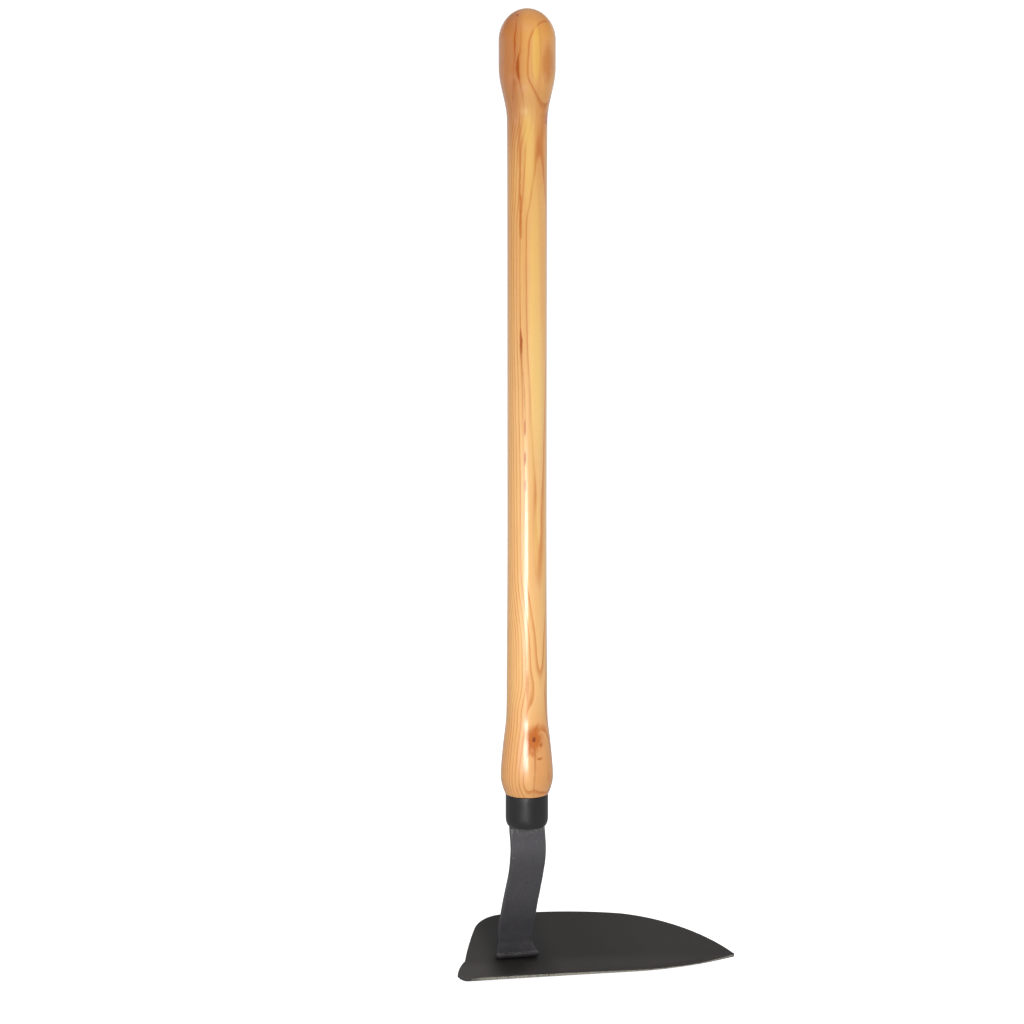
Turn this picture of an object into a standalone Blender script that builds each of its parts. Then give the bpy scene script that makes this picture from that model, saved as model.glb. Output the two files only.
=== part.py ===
"""Grub hoe: a short ash handle, a steel ferrule, a forged swan neck and a welded draw blade.

All sizes are in metres. +Z runs up the handle to its knob, -Y is the side that the cutting
edge faces, and +X is the side that the blade runs out to its point on. The origin lies on
the blade's flat underside, below the back of the weld at the neck's heel.
"""

from math import atan2, cos, hypot, pi, radians, sin, sqrt, tan

import bmesh
import bpy
from mathutils import Euler, Matrix, Vector

# Gap that neighbouring pieces keep, so that no two solids touch.
GAP = 0.0003

# The handle's axis is upright. Heights on it are counted up from the ferrule's lower face.
AXIS_Y = -0.0413
FERRULE_FACE_Z = 0.1019

# Ash handle, from the knob down.
KNOB_RADIUS = 0.0196
KNOB_DOME_HEIGHT = 0.0221
KNOB_CENTRE_Z = 0.5577
KNOB_BASE_Z = 0.5395
GRIP_TOP = (0.01390, 0.5005)
GRIP_UPPER = (0.01372, 0.4600)
GRIP_WAIST = (0.01362, 0.2300)
GRIP_LOWER = (0.01386, 0.1480)
GRIP_BASE = (0.01450, 0.0790)
BULB_START = (0.01480, 0.0770)
BULB_RADIUS = 0.0183
BULB_CENTRE_Z = 0.0386
BULB_ROUND_Z = 0.0345
BULB_TURN = (0.01785, 0.0318)
BULB_FOOT = (0.01735, 0.0298)
SHOULDER_RADIUS = 0.0152
BORE_RADIUS = 0.0065
BORE_TOP_Z = 0.0800
BORE_TIP_HEIGHT = 0.0030
TURNED_STEPS = 48
DOME_STEPS = 12
KNOB_NECK_STEPS = 10
BULB_STEPS = 8

# Ferrule: a pressed cup whose closed end bears on the neck's shoulders.
FERRULE_RADIUS = 0.0149
FERRULE_HEIGHT = 0.0235
FERRULE_WALL = 0.0012
FERRULE_FACE_RADIUS = 0.0129
FERRULE_ROUND_Z = 0.0060
FERRULE_EDGE = 0.0004
FERRULE_INNER_ROUND = 0.0040

# Pin: a small domed nail through the back of the ferrule.
PIN_Z = 0.0125
PIN_RADIUS = 0.0013
PIN_HEAD_RADIUS = 0.0027
PIN_HEAD_HEIGHT = 0.0011
PIN_TIP_Y = 0.0078
PIN_SIDES = 20

# Forged neck: stations down the strap's middle line, as
# (y, height, width, thickness), from the shoulders to the end of the toe.
NECK_STATIONS = (
    (0.0000, -0.0003, 0.0248, 0.0056),
    (-0.0034, -0.0130, 0.0248, 0.0054),
    (-0.0030, -0.0220, 0.0248, 0.0052),
    (0.0026, -0.0355, 0.0246, 0.0048),
    (0.0134, -0.0525, 0.0249, 0.0045),
    (0.0237, -0.0695, 0.0250, 0.0044),
    (0.0312, -0.0835, 0.0250, 0.0045),
    (0.0338, -0.0930, 0.0249, 0.0046),
    (0.0339, -0.0964, 0.0252, 0.0047),
    (0.0328, -0.0992, 0.0270, 0.0044),
    (0.0302, -0.1009, 0.0293, 0.0037),
    (0.0252, -0.1026, 0.0314, 0.0028),
)
NECK_STEPS = 4
NECK_CHAMFER = 0.0009

# Tang: (height, width, thickness) up from the shoulders, and its tip.
TANG_SECTIONS = (
    (-0.0003, 0.0090, 0.0050),
    (0.0160, 0.0088, 0.0049),
    (0.0700, 0.0056, 0.0040),
    (0.0745, 0.0026, 0.0022),
)
TANG_CHAMFER = 0.0006

# Epoxy that fills the bore round the tang.
ADHESIVE_BASE_Z = 0.0030
ADHESIVE_TOP_Z = 0.0775
ADHESIVE_STEPS = 32

# Blade, in its own plane: x along it, q back from the origin, n up from its underside.
BLADE_TILT = radians(20.0)
BLADE_THICKNESS = 0.0025
ARC_STEPS = 10

# The outline as arcs: each is (via point, end point), from the left end of the cutting edge.
BLADE_START = (-0.0368, -0.0316)
BLADE_ARCS = (
    ((0.0240, -0.0325), (0.0850, -0.0344)),
    ((0.1220, -0.0329), (0.1542, -0.0282)),
    ((0.1557, -0.0272), (0.1549, -0.0259)),
    ((0.1258, 0.0087), (0.0862, 0.0299)),
    ((0.0420, 0.0374), (-0.0013, 0.0385)),
    ((-0.0127, 0.0345), (-0.0216, 0.0252)),
    ((-0.0302, 0.0066), (-0.0379, -0.0134)),
    ((-0.0433, -0.0203), (-0.0460, -0.0262)),
    ((-0.0434, -0.0302), (-0.0368, -0.0316)),
)

# The drawn front band is bent down along a shallow curve across the blade.
FOLD_ARC = ((-0.0388, -0.0136), (0.0610, -0.0154), (0.1550, -0.0270))
FOLD_ANGLE = radians(7.0)
FOLD_SOFTNESS = 0.0050
FOLD_CUTS_Q = [-0.0040 - 0.0030 * step for step in range(9)]
FOLD_CUTS_X = [-0.040 + 0.016 * step for step in range(12)]

# The cutting edge is ground on the top side, wide at the left and running out at the right.
GRIND_START_X = -0.0365
GRIND_END_X = 0.1130
GRIND_START_WIDTH = 0.0019
GRIND_END_WIDTH = 0.0003
GRIND_ANGLE = radians(50.0)
GRIND_BLOCK = 0.0100

# Weld bead behind the foot: its hollow side follows the heel.
HEEL_CENTRE = (0.0292, -0.0965)
HEEL_RADIUS = 0.0073
WELD_TOP_ANGLE = radians(-7.0)
WELD_TOE_ANGLE = radians(-41.0)
WELD_REACH = 0.0415
WELD_CROWN = 0.0007
WELD_LENGTH = 0.0254
WELD_MIDDLE_X = 0.0014
WELD_ROUND = 0.0006


# --- helpers ---------------------------------------------------------------------------


def clear_scene():
    for obj in list(bpy.data.objects):
        bpy.data.objects.remove(obj, do_unlink=True)


def new_collection(name):
    collection = bpy.data.collections.new(name)
    bpy.context.scene.collection.children.link(collection)
    return collection


def material(name, colour, roughness, metallic=0.0):
    mat = bpy.data.materials.new(name)
    mat.use_nodes = True
    shader = mat.node_tree.nodes["Principled BSDF"]
    shader.inputs["Base Color"].default_value = (*colour, 1.0)
    shader.inputs["Roughness"].default_value = roughness
    shader.inputs["Metallic"].default_value = metallic
    return mat


def add_object(name, data, collection, parent=None, mat=None):
    obj = bpy.data.objects.new(name, data)
    collection.objects.link(obj)
    obj.parent = parent
    if mat is not None:
        obj.data.materials.append(mat)
    return obj


def mesh_from(bm, name):
    bmesh.ops.recalc_face_normals(bm, faces=bm.faces)
    mesh = bpy.data.meshes.new(name)
    bm.to_mesh(mesh)
    bm.free()
    return mesh


def round_shading(obj, sharp_angle=radians(30.0)):
    obj.data.shade_smooth()
    obj.data.set_sharp_from_angle(angle=sharp_angle)


def turned(name, profile, collection, parent, mat, steps=TURNED_STEPS):
    """Turn a profile of (radius, height) about Z. It runs down its outer side."""
    bm = bmesh.new()
    verts = [bm.verts.new((radius, 0.0, height)) for radius, height in profile]
    for first, second in zip(verts, verts[1:]):
        bm.edges.new((first, second))
    mesh = bpy.data.meshes.new(name)
    bm.to_mesh(mesh)
    bm.free()
    obj = add_object(name, mesh, collection, parent, mat)
    screw = obj.modifiers.new("turn", "SCREW")
    screw.axis = "Z"
    screw.steps = steps
    screw.render_steps = steps
    screw.use_merge_vertices = True
    screw.merge_threshold = 0.00001
    screw.use_smooth_shade = True
    return obj


def make_cutter(obj):
    obj.hide_render = True
    obj.display_type = "WIRE"
    return obj


def cut(obj, cutter, name):
    modifier = obj.modifiers.new(name, "BOOLEAN")
    modifier.operation = "DIFFERENCE"
    modifier.solver = "EXACT"
    modifier.object = cutter
    return modifier


def block_mesh(name, size):
    bm = bmesh.new()
    bmesh.ops.create_cube(bm, size=1.0)
    bmesh.ops.scale(bm, vec=size, verts=bm.verts)
    return mesh_from(bm, name)


def rod_mesh(name, radius, length, sides):
    bm = bmesh.new()
    bmesh.ops.create_cone(
        bm, cap_ends=True, segments=sides, radius1=radius, radius2=radius, depth=length
    )
    return mesh_from(bm, name)


def evaluated_mesh(obj, name):
    """A welded mesh of the object as its modifiers or curve make it."""
    depsgraph = bpy.context.evaluated_depsgraph_get()
    mesh = bpy.data.meshes.new_from_object(obj.evaluated_get(depsgraph))
    mesh.name = name
    bm = bmesh.new()
    bm.from_mesh(mesh)
    bmesh.ops.remove_doubles(bm, verts=bm.verts, dist=0.000001)
    bm.to_mesh(mesh)
    bm.free()
    return mesh


def circle_through(a, b, c):
    """Centre and radius of the circle through three points."""
    twice = 2.0 * (a[0] * (b[1] - c[1]) + b[0] * (c[1] - a[1]) + c[0] * (a[1] - b[1]))
    aa = a[0] ** 2 + a[1] ** 2
    bb = b[0] ** 2 + b[1] ** 2
    cc = c[0] ** 2 + c[1] ** 2
    x = (aa * (b[1] - c[1]) + bb * (c[1] - a[1]) + cc * (a[1] - b[1])) / twice
    y = (aa * (c[0] - b[0]) + bb * (a[0] - c[0]) + cc * (b[0] - a[0])) / twice
    return (x, y), hypot(a[0] - x, a[1] - y)


def arc_points(start, via, end, steps):
    """Points after start along the arc through via to end."""
    centre, radius = circle_through(start, via, end)
    first = atan2(start[1] - centre[1], start[0] - centre[0])
    middle = atan2(via[1] - centre[1], via[0] - centre[0])
    last = atan2(end[1] - centre[1], end[0] - centre[0])
    sweep = (last - first) % (2.0 * pi)
    if (middle - first) % (2.0 * pi) > sweep:
        sweep -= 2.0 * pi
    points = []
    for step in range(1, steps + 1):
        angle = first + sweep * step / steps
        points.append((centre[0] + radius * cos(angle), centre[1] + radius * sin(angle)))
    return points


def eased(start, end, steps):
    """Points after start along a half-cosine from (radius, height) start to end."""
    points = []
    for step in range(1, steps + 1):
        part = step / steps
        blend = (1.0 - cos(pi * part)) / 2.0
        radius = start[0] + (end[0] - start[0]) * blend
        points.append((radius, start[1] + (end[1] - start[1]) * part))
    return points


def smooth_path(stations, steps):
    """Stations with steps - 1 more between each two, on a smooth curve through them."""
    rows = [Vector(station) for station in stations]
    along = [0.0]
    for first, second in zip(rows, rows[1:]):
        along.append(along[-1] + hypot(second[0] - first[0], second[1] - first[1]))
    slopes = []
    for index in range(len(rows)):
        low = max(index - 1, 0)
        high = min(index + 1, len(rows) - 1)
        slopes.append((rows[high] - rows[low]) / (along[high] - along[low]))
    path = [rows[0]]
    for index in range(len(rows) - 1):
        span = along[index + 1] - along[index]
        for step in range(1, steps + 1):
            u = step / steps
            path.append(
                rows[index] * (2 * u**3 - 3 * u**2 + 1)
                + slopes[index] * span * (u**3 - 2 * u**2 + u)
                + rows[index + 1] * (3 * u**2 - 2 * u**3)
                + slopes[index + 1] * span * (u**3 - u**2)
            )
    return path


# --- handle and ferrule ----------------------------------------------------------------


def handle_profile():
    points = [(0.0, KNOB_CENTRE_Z + KNOB_DOME_HEIGHT)]
    for step in range(1, DOME_STEPS + 1):
        angle = (pi / 2.0) * step / DOME_STEPS
        height = KNOB_CENTRE_Z + KNOB_DOME_HEIGHT * cos(angle)
        points.append((KNOB_RADIUS * sin(angle), height))
    points.append((KNOB_RADIUS, KNOB_BASE_Z))
    points += eased(points[-1], GRIP_TOP, KNOB_NECK_STEPS)
    points.append(GRIP_UPPER)
    points.append(GRIP_WAIST)
    points += arc_points(GRIP_WAIST, GRIP_LOWER, GRIP_BASE, 5)
    points += bulb_points()
    points.append((SHOULDER_RADIUS, FERRULE_HEIGHT + GAP))
    spigot_radius = FERRULE_RADIUS - FERRULE_WALL - GAP
    spigot_end = FERRULE_WALL + GAP
    points.append((spigot_radius, FERRULE_HEIGHT + GAP))
    points.append((spigot_radius, spigot_end + FERRULE_INNER_ROUND))
    points.append((spigot_radius - FERRULE_INNER_ROUND, spigot_end))
    points.append((BORE_RADIUS, spigot_end))
    points.append((BORE_RADIUS, BORE_TOP_Z))
    points.append((0.0, BORE_TOP_Z + BORE_TIP_HEIGHT))
    return points


def bulb_points():
    """The swelling above the ferrule, a shallow arc that rounds over to the shoulder."""
    mirror = (BULB_START[0], 2.0 * BULB_CENTRE_Z - BULB_START[1])
    centre, radius = circle_through(BULB_START, (BULB_RADIUS, BULB_CENTRE_Z), mirror)
    points = [BULB_START]
    for step in range(1, BULB_STEPS + 1):
        height = BULB_START[1] + (BULB_ROUND_Z - BULB_START[1]) * step / BULB_STEPS
        points.append((centre[0] + sqrt(radius**2 - (height - centre[1]) ** 2), height))
    return points + [BULB_TURN, BULB_FOOT]


def ferrule_profile():
    outer = FERRULE_RADIUS
    inner = outer - FERRULE_WALL
    points = [(0.0, FERRULE_WALL), (inner - FERRULE_INNER_ROUND, FERRULE_WALL)]
    points.append((inner, FERRULE_WALL + FERRULE_INNER_ROUND))
    points.append((inner, FERRULE_HEIGHT))
    points.append((outer - FERRULE_EDGE, FERRULE_HEIGHT))
    points.append((outer, FERRULE_HEIGHT - FERRULE_EDGE))
    points.append((outer, FERRULE_ROUND_Z))
    shoulder = outer - FERRULE_FACE_RADIUS
    radius = (FERRULE_ROUND_Z**2 + shoulder**2) / (2.0 * shoulder)
    steps = 5
    for step in range(1, steps + 1):
        drop = (FERRULE_ROUND_Z - FERRULE_EDGE) * step / steps
        points.append((outer - radius + sqrt(radius**2 - drop**2), FERRULE_ROUND_Z - drop))
    points.append((FERRULE_FACE_RADIUS - 2.0 * FERRULE_EDGE, 0.0))
    points.append((0.0, 0.0))
    return points


def make_pin_hole(collection, parent):
    hole_end = PIN_TIP_Y - GAP
    length = FERRULE_RADIUS + PIN_HEAD_HEIGHT - hole_end
    mesh = rod_mesh("pin_hole", PIN_RADIUS + GAP, length, PIN_SIDES)
    hole = add_object("pin_hole", mesh, collection, parent)
    hole.location = (0.0, hole_end + length / 2.0, PIN_Z)
    hole.rotation_euler = (radians(90.0), 0.0, 0.0)
    return make_cutter(hole)


def make_handle(collection, parent, mat, pin_hole):
    handle = turned("ash_handle", handle_profile(), collection, parent, mat)
    cut(handle, pin_hole, "pin hole")
    return handle


def make_ferrule(collection, cutters, parent, mat, pin_hole):
    ferrule = turned("ferrule", ferrule_profile(), collection, parent, mat)
    width, thickness = TANG_SECTIONS[0][1:]
    size = (width + 2.0 * GAP, thickness + 2.0 * GAP, 4.0 * FERRULE_WALL)
    slot = add_object("tang_slot", block_mesh("tang_slot", size), cutters, parent)
    make_cutter(slot)
    cut(ferrule, slot, "tang slot")
    cut(ferrule, pin_hole, "pin hole")
    return ferrule


def make_pin(collection, parent, mat):
    """The nail is turned about its own axis, then laid along Y with its head outwards."""
    seat = FERRULE_RADIUS + GAP
    profile = [(0.0, seat + PIN_HEAD_HEIGHT)]
    steps = 4
    for step in range(1, steps + 1):
        angle = (pi / 2.0) * step / steps
        profile.append((PIN_HEAD_RADIUS * sin(angle), seat + PIN_HEAD_HEIGHT * cos(angle)))
    profile.append((PIN_RADIUS, seat))
    profile.append((PIN_RADIUS, PIN_TIP_Y + 2.0 * PIN_RADIUS))
    profile.append((0.0, PIN_TIP_Y))
    pin = turned("ferrule_pin", profile, collection, parent, mat, PIN_SIDES)
    pin.location = (0.0, 0.0, PIN_Z)
    pin.rotation_euler = (radians(-90.0), 0.0, 0.0)
    return pin


# --- neck and adhesive -----------------------------------------------------------------


def section_ring(bm, centre, up, width, thickness, chamfer):
    """Eight corners of a chamfered bar, square to the direction up in the YZ plane."""
    front = Vector((0.0, -up.z, up.y))
    half_w = width / 2.0
    half_t = thickness / 2.0
    corners = (
        (half_w - chamfer, half_t),
        (half_w, half_t - chamfer),
        (half_w, chamfer - half_t),
        (half_w - chamfer, -half_t),
        (chamfer - half_w, -half_t),
        (-half_w, chamfer - half_t),
        (-half_w, half_t - chamfer),
        (chamfer - half_w, half_t),
    )
    return [bm.verts.new(centre + Vector((x, 0.0, 0.0)) + front * n) for x, n in corners]


def skin(bm, rings):
    """Join each ring of corners to the next, and close both ends."""
    for lower, upper in zip(rings, rings[1:]):
        for index in range(len(lower)):
            nxt = (index + 1) % len(lower)
            bm.faces.new((lower[index], lower[nxt], upper[nxt], upper[index]))
    bm.faces.new(rings[0])
    bm.faces.new(rings[-1])


def neck_rings(bm):
    """Rings of corners from the toe's end, up the strap and the shoulders, to the tang's tip."""
    path = smooth_path(NECK_STATIONS, NECK_STEPS)
    rings = []
    for index, (y, z, width, thickness) in enumerate(path):
        above = path[max(index - 1, 0)]
        below = path[min(index + 1, len(path) - 1)]
        up = Vector((0.0, above[0] - below[0], above[1] - below[1])).normalized()
        if index == 0:
            up = Vector((0.0, 0.0, 1.0))
        centre = Vector((0.0, y, z))
        rings.insert(0, section_ring(bm, centre, up, width, thickness, NECK_CHAMFER))
    upright = Vector((0.0, 0.0, 1.0))
    for z, width, thickness in TANG_SECTIONS:
        centre = Vector((0.0, 0.0, z))
        rings.append(section_ring(bm, centre, upright, width, thickness, TANG_CHAMFER))
    return rings


def make_neck(collection, parent, mat):
    bm = bmesh.new()
    skin(bm, neck_rings(bm))
    return add_object("forged_neck", mesh_from(bm, "forged_neck"), collection, parent, mat)


def make_adhesive(collection, cutters, parent, mat):
    height = ADHESIVE_TOP_Z - ADHESIVE_BASE_Z
    mesh = rod_mesh("tang_adhesive", BORE_RADIUS - GAP, height, ADHESIVE_STEPS)
    adhesive = add_object("tang_adhesive", mesh, collection, parent, mat)
    adhesive.location = (0.0, 0.0, ADHESIVE_BASE_Z + height / 2.0)
    bm = bmesh.new()
    upright = Vector((0.0, 0.0, 1.0))
    rings = []
    for z, width, thickness in TANG_SECTIONS:
        centre = Vector((0.0, 0.0, z + GAP))
        grown = (width + 2.0 * GAP, thickness + 2.0 * GAP)
        rings.append(section_ring(bm, centre, upright, *grown, TANG_CHAMFER))
    skin(bm, rings)
    socket = add_object("tang_socket", mesh_from(bm, "tang_socket"), cutters, parent)
    make_cutter(socket)
    cut(adhesive, socket, "tang socket")
    return adhesive


# --- blade and weld --------------------------------------------------------------------


def flat_solid(name, points, half_thickness, collection):
    """A closed plate of the outline, made as a filled and extruded 2D curve, then a mesh."""
    curve = bpy.data.curves.new(name, "CURVE")
    curve.dimensions = "2D"
    curve.fill_mode = "BOTH"
    curve.extrude = half_thickness
    spline = curve.splines.new("POLY")
    spline.points.add(len(points) - 1)
    for point, (x, y) in zip(spline.points, points):
        point.co = (x, y, 0.0, 1.0)
    spline.use_cyclic_u = True
    outline = add_object(name + "_outline", curve, collection)
    mesh = evaluated_mesh(outline, name)
    bpy.data.objects.remove(outline, do_unlink=True)
    bm = bmesh.new()
    bm.from_mesh(mesh)
    flat_angle = radians(0.5)
    bmesh.ops.dissolve_limit(bm, angle_limit=flat_angle, verts=bm.verts, edges=bm.edges)
    bmesh.ops.recalc_face_normals(bm, faces=bm.faces)
    bm.to_mesh(mesh)
    bm.free()
    return mesh


def blade_outline():
    points = [BLADE_START]
    for via, end in BLADE_ARCS:
        points += arc_points(points[-1], via, end, ARC_STEPS)
    return points[:-1]


def fold_drop(x, q):
    """How far the bent front band lies below the blade's plane."""
    centre, radius = circle_through(*FOLD_ARC)
    ahead = centre[1] + sqrt(radius**2 - (x - centre[0]) ** 2) - q
    if ahead <= -FOLD_SOFTNESS:
        return 0.0
    if ahead >= FOLD_SOFTNESS:
        return tan(FOLD_ANGLE) * ahead
    return tan(FOLD_ANGLE) * (ahead + FOLD_SOFTNESS) ** 2 / (4.0 * FOLD_SOFTNESS)


def make_grinder(collection, parent):
    """A block whose lower side grinds the bevel; it rises to the right, where the bevel ends."""
    bm = bmesh.new()
    rise = GRIND_BLOCK * tan(GRIND_ANGLE)
    ends = (
        (GRIND_START_X, edge_q(GRIND_START_X), GRIND_START_WIDTH),
        (GRIND_END_X, edge_q(GRIND_END_X), GRIND_END_WIDTH),
    )
    rings = []
    for x, q, width in ends:
        top_q = q + width * cos(GRIND_ANGLE)
        foot = (top_q - GRIND_BLOCK, BLADE_THICKNESS - rise)
        head = (top_q + GRIND_BLOCK, BLADE_THICKNESS + rise)
        tail = (top_q - GRIND_BLOCK, BLADE_THICKNESS + rise)
        rings.append([bm.verts.new((x, point[0], point[1])) for point in (foot, head, tail)])
    skin(bm, rings)
    return make_cutter(add_object("grinder", mesh_from(bm, "grinder"), collection, parent))


def edge_q(x):
    """Where the front edge of the blade lies at x."""
    centre, radius = circle_through(BLADE_START, *BLADE_ARCS[0])
    side = 1.0 if centre[1] < BLADE_START[1] else -1.0
    return centre[1] + side * sqrt(radius**2 - (x - centre[0]) ** 2)


def bend_front_band(mesh):
    """Cut the plate into strips across the fold, then lower the band in front of it."""
    bm = bmesh.new()
    bm.from_mesh(mesh)
    cuts = [((0.0, q, 0.0), (0.0, 1.0, 0.0)) for q in FOLD_CUTS_Q]
    cuts += [((x, 0.0, 0.0), (1.0, 0.0, 0.0)) for x in FOLD_CUTS_X]
    for point, normal in cuts:
        geometry = bm.verts[:] + bm.edges[:] + bm.faces[:]
        bmesh.ops.bisect_plane(bm, geom=geometry, dist=0.00001, plane_co=point, plane_no=normal)
    for vert in bm.verts:
        vert.co.z -= fold_drop(vert.co.x, vert.co.y)
    bmesh.ops.triangulate(bm, faces=bm.faces)
    bm.to_mesh(mesh)
    bm.free()


def make_blade(collection, cutters, parent, mat):
    plate = flat_solid("blade_plate", blade_outline(), BLADE_THICKNESS / 2.0, cutters)
    plate.transform(Matrix.Translation((0.0, 0.0, BLADE_THICKNESS / 2.0)))
    blank = add_object("blade_blank", plate, cutters)
    grinder = make_grinder(cutters, None)
    cut(blank, grinder, "ground edge")
    mesh = evaluated_mesh(blank, "blade")
    bpy.data.objects.remove(blank, do_unlink=True)
    bpy.data.objects.remove(grinder, do_unlink=True)
    bend_front_band(mesh)
    return add_object("blade", mesh, collection, parent, mat)


def plate_height(y):
    """Height of the blade's top plane at y, both in the handle's frame."""
    slope = tan(BLADE_TILT)
    return slope * (y + AXIS_Y) + BLADE_THICKNESS / cos(BLADE_TILT) - FERRULE_FACE_Z


def weld_outline():
    """The bead's section: hollow against the heel, flat on the blade, crowned behind."""
    points = []
    steps = 6
    for step in range(steps + 1):
        angle = WELD_TOP_ANGLE + (WELD_TOE_ANGLE - WELD_TOP_ANGLE) * step / steps
        y = HEEL_CENTRE[0] + HEEL_RADIUS * cos(angle)
        points.append((y, HEEL_CENTRE[1] + HEEL_RADIUS * sin(angle)))
    lift = GAP / cos(BLADE_TILT)
    points[-1] = (points[-1][0], plate_height(points[-1][0]) + lift)
    back = (WELD_REACH, plate_height(WELD_REACH) + lift)
    points.append(back)
    top = points[0]
    middle = ((back[0] + top[0]) / 2.0 + WELD_CROWN, (back[1] + top[1]) / 2.0 + WELD_CROWN)
    return points + arc_points(back, middle, top, 5)[:-1]


def make_weld(collection, cutters, parent, mat):
    mesh = flat_solid("heel_weld", weld_outline(), WELD_LENGTH / 2.0, cutters)
    upright = Euler((radians(90.0), 0.0, radians(90.0))).to_matrix().to_4x4()
    mesh.transform(Matrix.Translation((WELD_MIDDLE_X, 0.0, 0.0)) @ upright)
    weld = add_object("heel_weld", mesh, collection, parent, mat)
    bevel = weld.modifiers.new("soft edges", "BEVEL")
    bevel.width = WELD_ROUND
    bevel.segments = 2
    bevel.limit_method = "ANGLE"
    bevel.angle_limit = radians(60.0)
    return weld


# --- the whole hoe ---------------------------------------------------------------------


def main():
    clear_scene()
    parts = new_collection("grub_hoe")
    cutters = new_collection("cutters")

    ash = material("lacquered ash", (0.70, 0.42, 0.17), 0.30)
    black_steel = material("black coated steel", (0.030, 0.030, 0.032), 0.42, 0.2)
    forged_steel = material("forged steel", (0.075, 0.073, 0.078), 0.50, 0.6)
    blade_steel = material("black blade steel", (0.042, 0.041, 0.040), 0.45, 0.5)
    pin_steel = material("pin steel", (0.25, 0.25, 0.26), 0.35, 1.0)
    epoxy = material("epoxy", (0.62, 0.50, 0.30), 0.45)
    weld_steel = material("weld steel", (0.060, 0.058, 0.058), 0.55, 0.6)

    handle_axis = add_object("handle_axis", None, parts)
    handle_axis.location = (0.0, AXIS_Y, FERRULE_FACE_Z)
    blade_plane = add_object("blade_plane", None, parts)
    blade_plane.rotation_euler = (BLADE_TILT, 0.0, 0.0)

    pin_hole = make_pin_hole(cutters, handle_axis)
    handle = make_handle(parts, handle_axis, ash, pin_hole)
    ferrule = make_ferrule(parts, cutters, handle_axis, black_steel, pin_hole)
    pin = make_pin(parts, handle_axis, pin_steel)
    neck = make_neck(parts, handle_axis, forged_steel)
    adhesive = make_adhesive(parts, cutters, handle_axis, epoxy)
    blade = make_blade(parts, cutters, blade_plane, blade_steel)
    weld = make_weld(parts, cutters, handle_axis, weld_steel)

    for obj in (handle, ferrule, pin, neck, adhesive, blade, weld):
        round_shading(obj)


main()
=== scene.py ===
"""Looks for the grub hoe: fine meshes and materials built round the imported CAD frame.

Sizes are in metres in the frame's own axes: +Z up the handle, -Y the cutting side and +X the
blade's pointed side. Inside the wood material lengths are in millimetres, which suit its grain.
"""

from math import atan2, cos, hypot, pi, radians, sin, sqrt, tan

import bmesh
import bpy
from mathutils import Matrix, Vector, noise


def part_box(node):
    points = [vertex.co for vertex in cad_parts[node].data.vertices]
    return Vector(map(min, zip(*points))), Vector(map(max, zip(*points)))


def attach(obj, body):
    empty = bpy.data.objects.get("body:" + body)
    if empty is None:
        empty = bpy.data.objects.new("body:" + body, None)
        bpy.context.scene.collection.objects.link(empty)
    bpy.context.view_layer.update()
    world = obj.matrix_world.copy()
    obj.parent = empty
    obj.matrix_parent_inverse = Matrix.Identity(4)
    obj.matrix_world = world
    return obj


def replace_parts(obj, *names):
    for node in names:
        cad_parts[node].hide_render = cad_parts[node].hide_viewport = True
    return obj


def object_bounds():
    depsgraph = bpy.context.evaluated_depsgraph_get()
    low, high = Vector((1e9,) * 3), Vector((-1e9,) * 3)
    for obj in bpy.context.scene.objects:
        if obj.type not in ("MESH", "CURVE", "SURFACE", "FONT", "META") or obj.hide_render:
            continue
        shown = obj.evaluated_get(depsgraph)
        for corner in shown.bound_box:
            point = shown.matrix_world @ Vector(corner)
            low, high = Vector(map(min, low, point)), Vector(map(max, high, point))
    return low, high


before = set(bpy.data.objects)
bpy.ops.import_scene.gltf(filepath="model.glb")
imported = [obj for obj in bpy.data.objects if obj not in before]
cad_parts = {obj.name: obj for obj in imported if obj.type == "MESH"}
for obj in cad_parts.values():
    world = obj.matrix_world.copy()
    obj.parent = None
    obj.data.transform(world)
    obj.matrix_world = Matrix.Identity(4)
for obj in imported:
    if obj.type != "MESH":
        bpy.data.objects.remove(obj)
cad_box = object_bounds()

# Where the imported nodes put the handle's axis and the ferrule.
FERRULE_LOW, FERRULE_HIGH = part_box("ferrule")
KNOB_TOP_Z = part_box("ash_handle")[1].z
FLOOR_Z = cad_box[0].z
FERRULE_RADIUS = (FERRULE_HIGH.x - FERRULE_LOW.x) / 2.0
AXIS_Y = FERRULE_LOW.y + FERRULE_RADIUS
FERRULE_FACE_Z = FERRULE_LOW.z

# Camera: a long lens that looks down a little, from the blade's blunt side.
CAMERA_AZIMUTH = radians(-14.3)
CAMERA_ELEVATION = radians(13.5)
CAMERA_DISTANCE = 6.0
CAMERA_LENS = 301.35
CAMERA_TARGET = Vector((0.00257, 0.01086, 0.31508))
SENSOR_WIDTH = 36.0

# Strength of the room's light, as (direction, strength): from the back (-1) round to the viewer's
# side (1), and what is added for light from high up, by the height of the direction. The first
# fades from full at the horizon to a share of itself at a height, and stays there above it.
ROOM_LIGHT = ((-1.0, 1.20), (-0.75, 0.80), (-0.5, 0.46), (-0.1, 0.28), (0.3, 0.18), (1.0, 0.12))
ROOM_TOP_LIGHT = ((-1.0, 0.0), (0.30, 0.0), (0.55, 0.24), (0.80, 0.50), (0.92, 0.48), (1.0, 0.42))
ROOM_FADED_HEIGHT = 0.4
ROOM_FADED_SHARE = 0.35

# The floor: half its width, how far it lies under the hoe, its colours, and how bright it looks
# where a lacquered edge mirrors the part behind the hoe, which is full at the first distance.
FLOOR_REACH = 14.0
FLOOR_GAP = 0.0005
FLOOR_COLOUR = (0.55, 0.55, 0.55)
FLOOR_LIGHT = (0.95, 0.95, 0.95)
FLOOR_GLOW = 0.42
FLOOR_GLOW_FROM = (-1.2, -0.2)

MM = 1000.0


# --- camera, light and floor ---


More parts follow.
